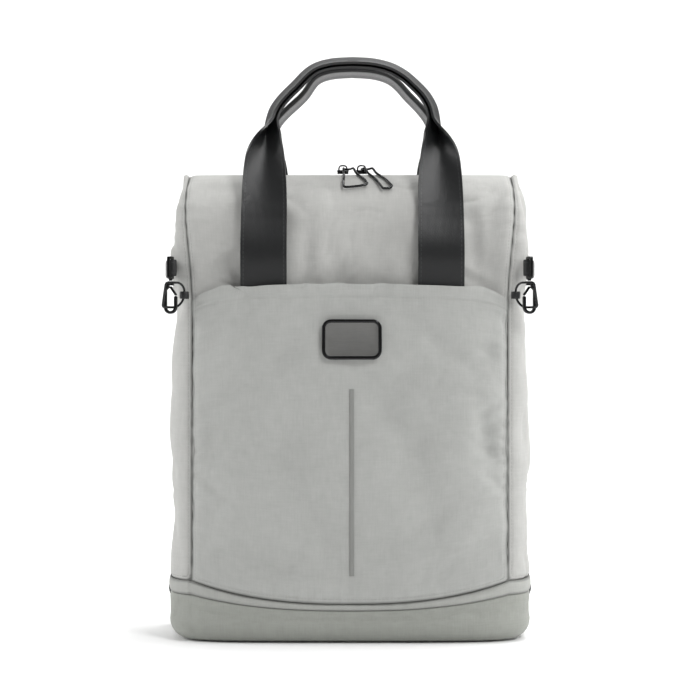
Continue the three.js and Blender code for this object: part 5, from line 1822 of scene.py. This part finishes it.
    def gate(self) -> Piece:
        """Builds the gate, a flat sprung bar from its pivot to the nose, and returns it."""
        tip = (self.hook_width / 2 - self.bar / 2, self.nose + self.clearance + self.gate_bar / 2)
        dx, dz = tip[0] - self.pivot[0], tip[1] - self.pivot[1]
        outline = rounded(math.hypot(dx, dz) + self.gate_bar, self.gate_bar, self.gate_bar * 0.45)
        piece = Bench.plate(outline, self.hook_thickness - 0.8, 0.35)
        Bench.place(piece, Matrix.Rotation(math.pi / 2, 4, "X"))
        turn = Matrix.Rotation(-math.atan2(dz, dx), 4, "Y")
        shift = Vector(((self.pivot[0] + tip[0]) / 2, 0, (self.pivot[1] + tip[1]) / 2)) * MM
        return Bench.soften(Bench.place(piece, self.at_hook() @ Matrix.Translation(shift) @ turn))

    def eye(self) -> Piece:
        """Builds the swivel's rectangular eye on its stem and returns it."""
        eye = Bench.border(self.eye_depth, self.eye_height, 1.8, self.eye_bar, self.eye_bar, 0.6)
        upright = Matrix.Rotation(math.pi / 2, 4, "Z") @ Matrix.Rotation(math.pi / 2, 4, "X")
        Bench.place(eye, Matrix.Translation((0, 0, (self.eye_height / 2 + self.stem) * MM)) @ upright)
        Bench.take()
        bpy.ops.mesh.primitive_cylinder_add(
            vertices=20, radius=0.0016, depth=(self.stem + 0.4) * MM, location=(0, 0, (self.stem / 2 + 0.5) * MM)
        )
        stem = Bench.place(bpy.context.object)
        Bench.modify(stem, "BEVEL", width=0.0003, segments=2, limit_method="ANGLE")
        return Bench.soften(Bench.place(Bench.join([eye, stem]), self.at_hook()))

    def strap(self) -> Piece:
        """Builds the short strap: a loop round the eye's rear bar, then back along the side to its seam."""
        form = self.form
        height = self.hook_place[2] + self.stem + self.eye_height / 2
        bar = (self.eye_depth - self.eye_bar) / 2
        radius = self.eye_bar * 0.72 + self.clearance + self.thin / 2
        turn = math.radians(self.hook_turn)
        centre = self.hook_place[:2] + bar * np.array([math.sin(turn), math.cos(turn)])
        gap = self.clearance + 0.3 + self.thin / 2
        turns = np.array([3.8, 3.62, 3.45, 3.3, 3.2, 3.14, 3.09, 3.05, 3.02])
        out = unit(form.normal(turns, form.level_at(height)) * np.array([1.0, 1.0, 0.0]))[:, :2]
        edges = [form.point(turns, form.level_at(height + k * self.narrow / 2), True)[:, :2] for k in (-1, 0, 1)]
        reach = np.maximum.reduce([np.sum(edge * out, -1) for edge in edges])
        base = edges[1] - out * np.sum(edges[1] * out, -1)[:, None]
        side = base + out * (reach + gap)[:, None]
        angles = np.radians(np.linspace(110, -195, 27))
        loop = centre + radius * np.stack((np.cos(angles), np.sin(angles)), -1)
        flat = flowing(np.concatenate((loop, side)), 170)
        line = np.column_stack((flat, np.full(len(flat), height)))
        run = np.gradient(line, axis=0)
        face = np.stack((-run[:, 1], run[:, 0], 0 * run[:, 0]), -1)
        return ribbon(line, face, self.narrow, self.thin)


@dataclass(frozen=True)
class PadStage:
    """A station of a shoulder pad's middle line, from its top.

    down is a share of the pad's height, out of half the body's width, away of the pad's stand-off, and broad
    and thick of its width and thickness.
    """

    down: float
    out: float
    away: float
    broad: float
    thick: float


PAD_LINE = (
    PadStage(0.0, 0.17, 0.0, 0.82, 0.25),
    PadStage(0.06, 0.172, 0.12, 0.86, 0.7),
    PadStage(0.2, 0.19, 0.62, 0.96, 1.0),
    PadStage(0.42, 0.27, 1.0, 1.0, 1.0),
    PadStage(0.64, 0.375, 1.0, 0.98, 1.0),
    PadStage(0.82, 0.48, 0.82, 0.88, 0.95),
    PadStage(0.94, 0.56, 0.62, 0.66, 0.8),
    PadStage(1.0, 0.605, 0.5, 0.5, 0.35),
)


@dataclass
class ShoulderStraps:
    """The two shoulder straps on the back: padded parts, buckles, tails and loops at the lower corners."""

    form: BagForm
    finishes: Finishes
    width: float = 56.0
    thickness: float = 11.0
    top: float = 322.0
    stand_off: float = 24.0
    drop: float = 214.0
    buckle_length: float = 22.0
    buckle_width: float = 30.0
    buckle_thickness: float = 2.6
    buckle_bar: float = 4.0
    tail_width: float = 20.0
    thin: float = 1.6
    clearance: float = 0.4
    loop_turn: float = 2.9
    loop_rise: float = 17.0
    loop_reach: float = 9.0
    loop_width: float = 16.0
    loop_height: float = 33.0
    frames: int = 20
    swell_cap: float = 1.6
    channels: tuple[float, ...] = (0.24, 0.5, 0.76)
    line: Table = field(default_factory=lambda: Table(PAD_LINE))

    def build(self) -> None:
        """Builds the left strap and its copy on the right."""
        finishes = self.finishes
        for node, piece, finish in (
            ("shoulder_pad", self.pad(), finishes.pad),
            ("pad_binding", self.binding(), finishes.binding),
            ("strap_buckle", self.buckle(), finishes.plastic),
            ("strap_tail", self.tail(), finishes.tail),
            ("lower_loop", self.loop(), finishes.narrow),
        ):
            for side, each in Bench.pair(piece):
                name = side.named(node)
                Bench.dress(each, finish, *(("", "root", name) if node == "pad_binding" else (name,)))
                node == "shoulder_pad"

    def middle(self, level: Grid | float) -> Grid:
        """Returns the pad's middle line at levels from 0, its top, to 1."""
        height = self.top - self.drop * self.line.at("down", level)
        x = -self.line.at("out", level) * self.form.width / 2
        back = self.form.face_at(x, height, 1.0) + self.clearance + self.thickness * 0.2
        return np.stack((x, back + self.stand_off * self.line.at("away", level), height), -1)

    def frame(self, level: Grid | float) -> tuple[Grid, Grid, Grid]:
        """Returns the directions along, across and out of the pad at levels."""
        level = np.asarray(level, float)
        run = unit(self.middle(np.minimum(level + 0.02, 1)) - self.middle(np.maximum(level - 0.02, 0)))
        sideways = unit(np.cross(np.array([0.0, 1.0, 0.0]), run))
        return run, sideways, unit(np.cross(run, sideways))

    def ring(self, level: Grid, angle: Grid, grown: float = 0.0) -> Grid:
        """Returns points round the pad at levels and angles, grown outward by a distance."""
        _, sideways, out = self.frame(level)
        half_width = self.width * self.line.at("broad", level) / 2 + grown
        half_thick = self.thickness * self.line.at("thick", level) / 2 + grown
        c, d = np.cos(angle), np.sin(angle)
        across = (np.sign(c) * np.abs(c) ** 0.6 * half_width)[..., None]
        lift = (np.sign(d) * np.abs(d) ** 0.8 * half_thick)[..., None]
        return self.middle(level) + sideways * across + out * lift

    def pad(self) -> Piece:
        """Builds the padded part, swelled as cloth under pressure and sewn in channels, and returns it."""
        rows, columns = 61, 48
        levels = np.linspace(0, 1, rows)[:, None]
        angles = np.radians(np.linspace(0, 360, columns + 1))[:-1][None, :]
        rings = self.ring(*np.broadcast_arrays(levels, angles), -0.6)
        index = np.arange(rows * columns).reshape(rows, columns)
        piece = Bench.mesh(rings.reshape(-1, 3), Slab.quads(np.concatenate((index, index[:, :1]), axis=1)))
        Bench.pick(piece, "VERT", lambda at: False)
        bpy.ops.mesh.select_non_manifold()
        bpy.ops.mesh.fill_holes(sides=0)
        Bench.shut(piece)
        self.swell(piece)
        self.sew(piece)
        Bench.mapped(piece, "cloth", Bench.points(piece)[:, [0, 2]])
        return Bench.soften(piece, 70)

    def swell(self, piece: Piece) -> None:
        """Fills the pad with pressure and keeps each point within a cap of its place."""
        Bench.modify(piece, "REMESH", mode="VOXEL", voxel_size=0.0032)
        before = Bench.points(piece)
        cloth = piece.modifiers.new("cloth", "CLOTH")
        cloth.settings.use_pressure = True
        cloth.settings.uniform_pressure_force = 4.0
        cloth.settings.quality = 5
        cloth.settings.effector_weights.gravity = 0.0
        cloth.settings.tension_stiffness = 40.0
        cloth.point_cache.frame_start, cloth.point_cache.frame_end = 1, self.frames
        for frame in range(1, self.frames + 1):
            bpy.context.scene.frame_set(frame)
        Bench.take(piece)
        bpy.ops.object.modifier_apply(modifier=cloth.name)
        bpy.context.scene.frame_set(1)
        moved = Bench.points(piece) - before
        length = np.linalg.norm(moved, axis=1, keepdims=True)
        Bench.move(piece, before + moved * np.minimum(1.0, self.swell_cap * MM / np.maximum(length, 1e-9)))
        Bench.modify(piece, "SUBSURF", levels=1, render_levels=1)

    def sew(self, piece: Piece) -> None:
        """Draws three sewn channels into the pad's two faces, across it."""
        levels = np.linspace(0, 1, 201)
        middle = self.middle(levels)
        _, _, out = self.frame(levels)
        points = Bench.points(piece) / MM
        nearest = np.argmin(np.abs(points[:, None, 2] - middle[None, :, 2]), axis=1)
        level, away = levels[nearest], out[nearest]
        lift = np.sum((points - middle[nearest]) * away, axis=1)
        depth = np.zeros(len(points))
        for channel in self.channels:
            depth += hump((level - channel) * self.drop, 2.6)
        points -= away * (np.sign(lift) * depth * smooth(np.abs(lift), 0.5, 3.0) * 2.2)[:, None]
        Bench.move(piece, points * MM)

    def binding(self) -> Piece:
        """Builds the tape sewn round the pad's edge and returns it."""
        down = np.linspace(0.015, 0.985, 90)
        left = self.ring(down, np.full_like(down, math.pi), 0.4)
        right = self.ring(down, np.zeros_like(down), 0.4)
        line = flowing(np.concatenate((right, left[::-1])), 260, closed=True)
        return Bench.soften(Bench.wire(line, 1.9, sides=3), 60)

    def buckle(self) -> Piece:
        """Builds the ladder-lock buckle, a frame with a middle bar, and returns it."""
        bar, tall = self.buckle_bar, self.buckle_thickness
        border = Bench.border(self.buckle_width, self.buckle_length, 3.0, bar, tall, 0.7)
        Bench.take()
        bpy.ops.mesh.primitive_cube_add(size=MM)
        middle = bpy.context.object
        middle.scale = (self.buckle_width - 2 * bar + 1, bar, tall)
        bpy.context.view_layer.update()
        Bench.modify(Bench.place(middle), "BEVEL", width=0.0008, segments=3, limit_method="ANGLE")
        piece = Bench.join([border, middle])
        run, sideways, _ = self.frame(1.0)
        centre = self.middle(1.0) + run * (self.buckle_length / 2 + self.clearance)
        frame = Matrix([list(sideways), list(run), list(np.cross(sideways, run))]).transposed().to_4x4()
        frame.translation = Vector(centre) * MM
        return Bench.soften(Bench.place(piece, frame))

    def tail(self) -> Piece:
        """Builds the webbing from the buckle down to the loop at the bag's corner and returns it."""
        form = self.form
        run, _, out = self.frame(1.0)
        lift = self.buckle_thickness / 2 + self.clearance + self.thin / 2
        end = self.middle(1.0)
        over = [end + run * self.buckle_length * share + out * lift for share in (0.45, 0.8, 1.15)]
        above = self.loop_height + self.loop_rise / 2
        turn = self.loop_turn + 0.06
        feet = [form.beside(turn, form.level_at(above + up), self.clearance + away) for up, away in ((12, 3), (3, 2))]
        line = flowing(over + feet, 60)
        return ribbon(line, np.broadcast_to(out, line.shape), self.tail_width, self.thin, 0.3, 11)

    def loop(self) -> Piece:
        """Builds the webbing loop at the bag's lower corner and returns it."""
        form = self.form
        level = form.level_at(self.loop_height)
        middle = form.beside(3.1, level, self.clearance + self.thin / 2)
        away = unit(form.normal(3.1, level) * np.array([1.0, 1.0, 0.0]))
        angles = np.radians(np.linspace(-90, 90, 41))
        line = middle + away * (self.loop_reach * np.cos(angles) ** 0.7)[:, None]
        line[:, 2] += np.sin(angles) * self.loop_rise / 2
        out = away * np.cos(angles)[:, None] + np.array([0.0, 0.0, 1.0]) * np.sin(angles)[:, None]
        return ribbon(line, out, self.loop_width, self.thin)


@dataclass(frozen=True)
class Lamp:
    """A soft square light."""

    name: str
    place: tuple[float, float, float]
    size: float
    power: float
    goal: tuple[float, float, float] = (0.0, 0.0, 0.22)

    def light(self) -> None:
        """Adds the light, aimed at its goal, the bag's middle unless it has another."""
        data = bpy.data.lights.new(self.name, "AREA")
        data.shape = "SQUARE"
        data.size = self.size
        data.energy = self.power
        lamp = bpy.data.objects.new(self.name, data)
        lamp.location = self.place
        aim = Vector(self.goal) - Vector(self.place)
        lamp.rotation_euler = aim.to_track_quat("-Z", "Y").to_euler()
        lamp.visible_camera = False
        bpy.context.scene.collection.objects.link(lamp)


@dataclass
class Studio:
    """The camera, a pale swept floor, a white room and soft lights."""

    distance: float = 1.7
    eye: float = 0.2404
    lens: float = 102.6
    room: float = 0.26
    floor_size: float = 8.0
    floor_drop: float = 0.0004
    wall: float = 4.0
    sweep: float = 1.8
    lamps: tuple[Lamp, ...] = (
        Lamp("key_light", (1.0, -1.4, 1.7), 0.6, 22.0),
        Lamp("right_light", (1.7, -0.1, 0.8), 1.1, 13.0),
        Lamp("left_light", (-1.7, -0.1, 0.75), 1.0, 17.0),
        Lamp("top_light", (0.5, 0.2, 2.0), 1.0, 20.0),
        Lamp("backdrop_light", (0.0, 0.9, 2.4), 2.4, 100.0, (0.0, 4.0, 0.6)),
    )

    def camera(self) -> None:
        """Adds the camera, level and square to the bag's front."""
        data = bpy.data.cameras.new("camera")
        data.lens = self.lens
        data.sensor_width = 36.0
        data.dof.use_dof = False
        camera = bpy.data.objects.new("camera", data)
        camera.location = (0.0, -self.distance, self.eye)
        camera.rotation_euler = (math.pi / 2, 0.0, 0.0)
        bpy.context.scene.collection.objects.link(camera)
        bpy.context.scene.camera = camera

    def build(self) -> None:
        """Adds the floor, the room and the lights."""
        self.floor()
        scene = bpy.context.scene
        scene.view_settings.view_transform = "Standard"
        world = bpy.data.worlds.new("room")
        world.use_nodes = True
        backdrop = world.node_tree.nodes["Background"]
        backdrop.inputs["Color"].default_value = (1.0, 1.0, 1.0, 1.0)
        backdrop.inputs["Strength"].default_value = self.room
        scene.world = world
        for lamp in self.lamps:
            lamp.light()

    def floor(self) -> None:
        """Adds the floor, which sweeps up behind the bag."""
        Bench.take()
        bpy.ops.mesh.primitive_plane_add(size=self.floor_size, location=(0.0, 0.0, -self.floor_drop))
        piece = bpy.context.object
        piece.name = "studio_floor"
        Bench.place(piece)
        back = (self.floor_size / 2 - 0.1) / MM
        Bench.pick(piece, "EDGE", lambda at: at.y > back)
        bpy.ops.mesh.extrude_region_move(TRANSFORM_OT_translate={"value": (0, 0, self.wall)})
        Bench.pick(piece, "EDGE", lambda at: at.y > back and abs(at.z) < 10)
        bpy.ops.mesh.bevel(offset=self.sweep, segments=24)
        bpy.ops.object.mode_set(mode="OBJECT")
        Bench.soften(piece, 60)
        made = Shader("pale_floor")
        place = made.node("TexCoord", {}, None, "Object")
        colour = made.mix(made.noise(place, 3.0), srgb(250, 250, 250), srgb(247, 247, 247))
        piece.data.materials.append(made.finish(colour, made.noise(place, 8.0) * 0.1 + 0.85))


def main() -> None:
    """Builds the bag round the loaded frame."""
    logging.basicConfig(level=logging.INFO, format="%(name)s: %(message)s")
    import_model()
    studio = Studio()
    studio.camera()
    form = BagForm()
    finishes = Finishes()
    Shell(form, finishes).build()
    pocket = FrontPocket(form, finishes)
    pocket.build()
    Badge(pocket, finishes).build()
    CarryHandle(form, finishes, "front_handle", -1.0).build()
    CarryHandle(form, finishes, "back_handle", 1.0, pinch=7.0, tilt=8.0).build()
    TopZip(form, finishes).build()
    SideHardware(form, finishes).build()
    ShoulderStraps(form, finishes).build()
    studio.build()
    bpy.context.view_layer.update()


if __name__ == "__main__":
    main()
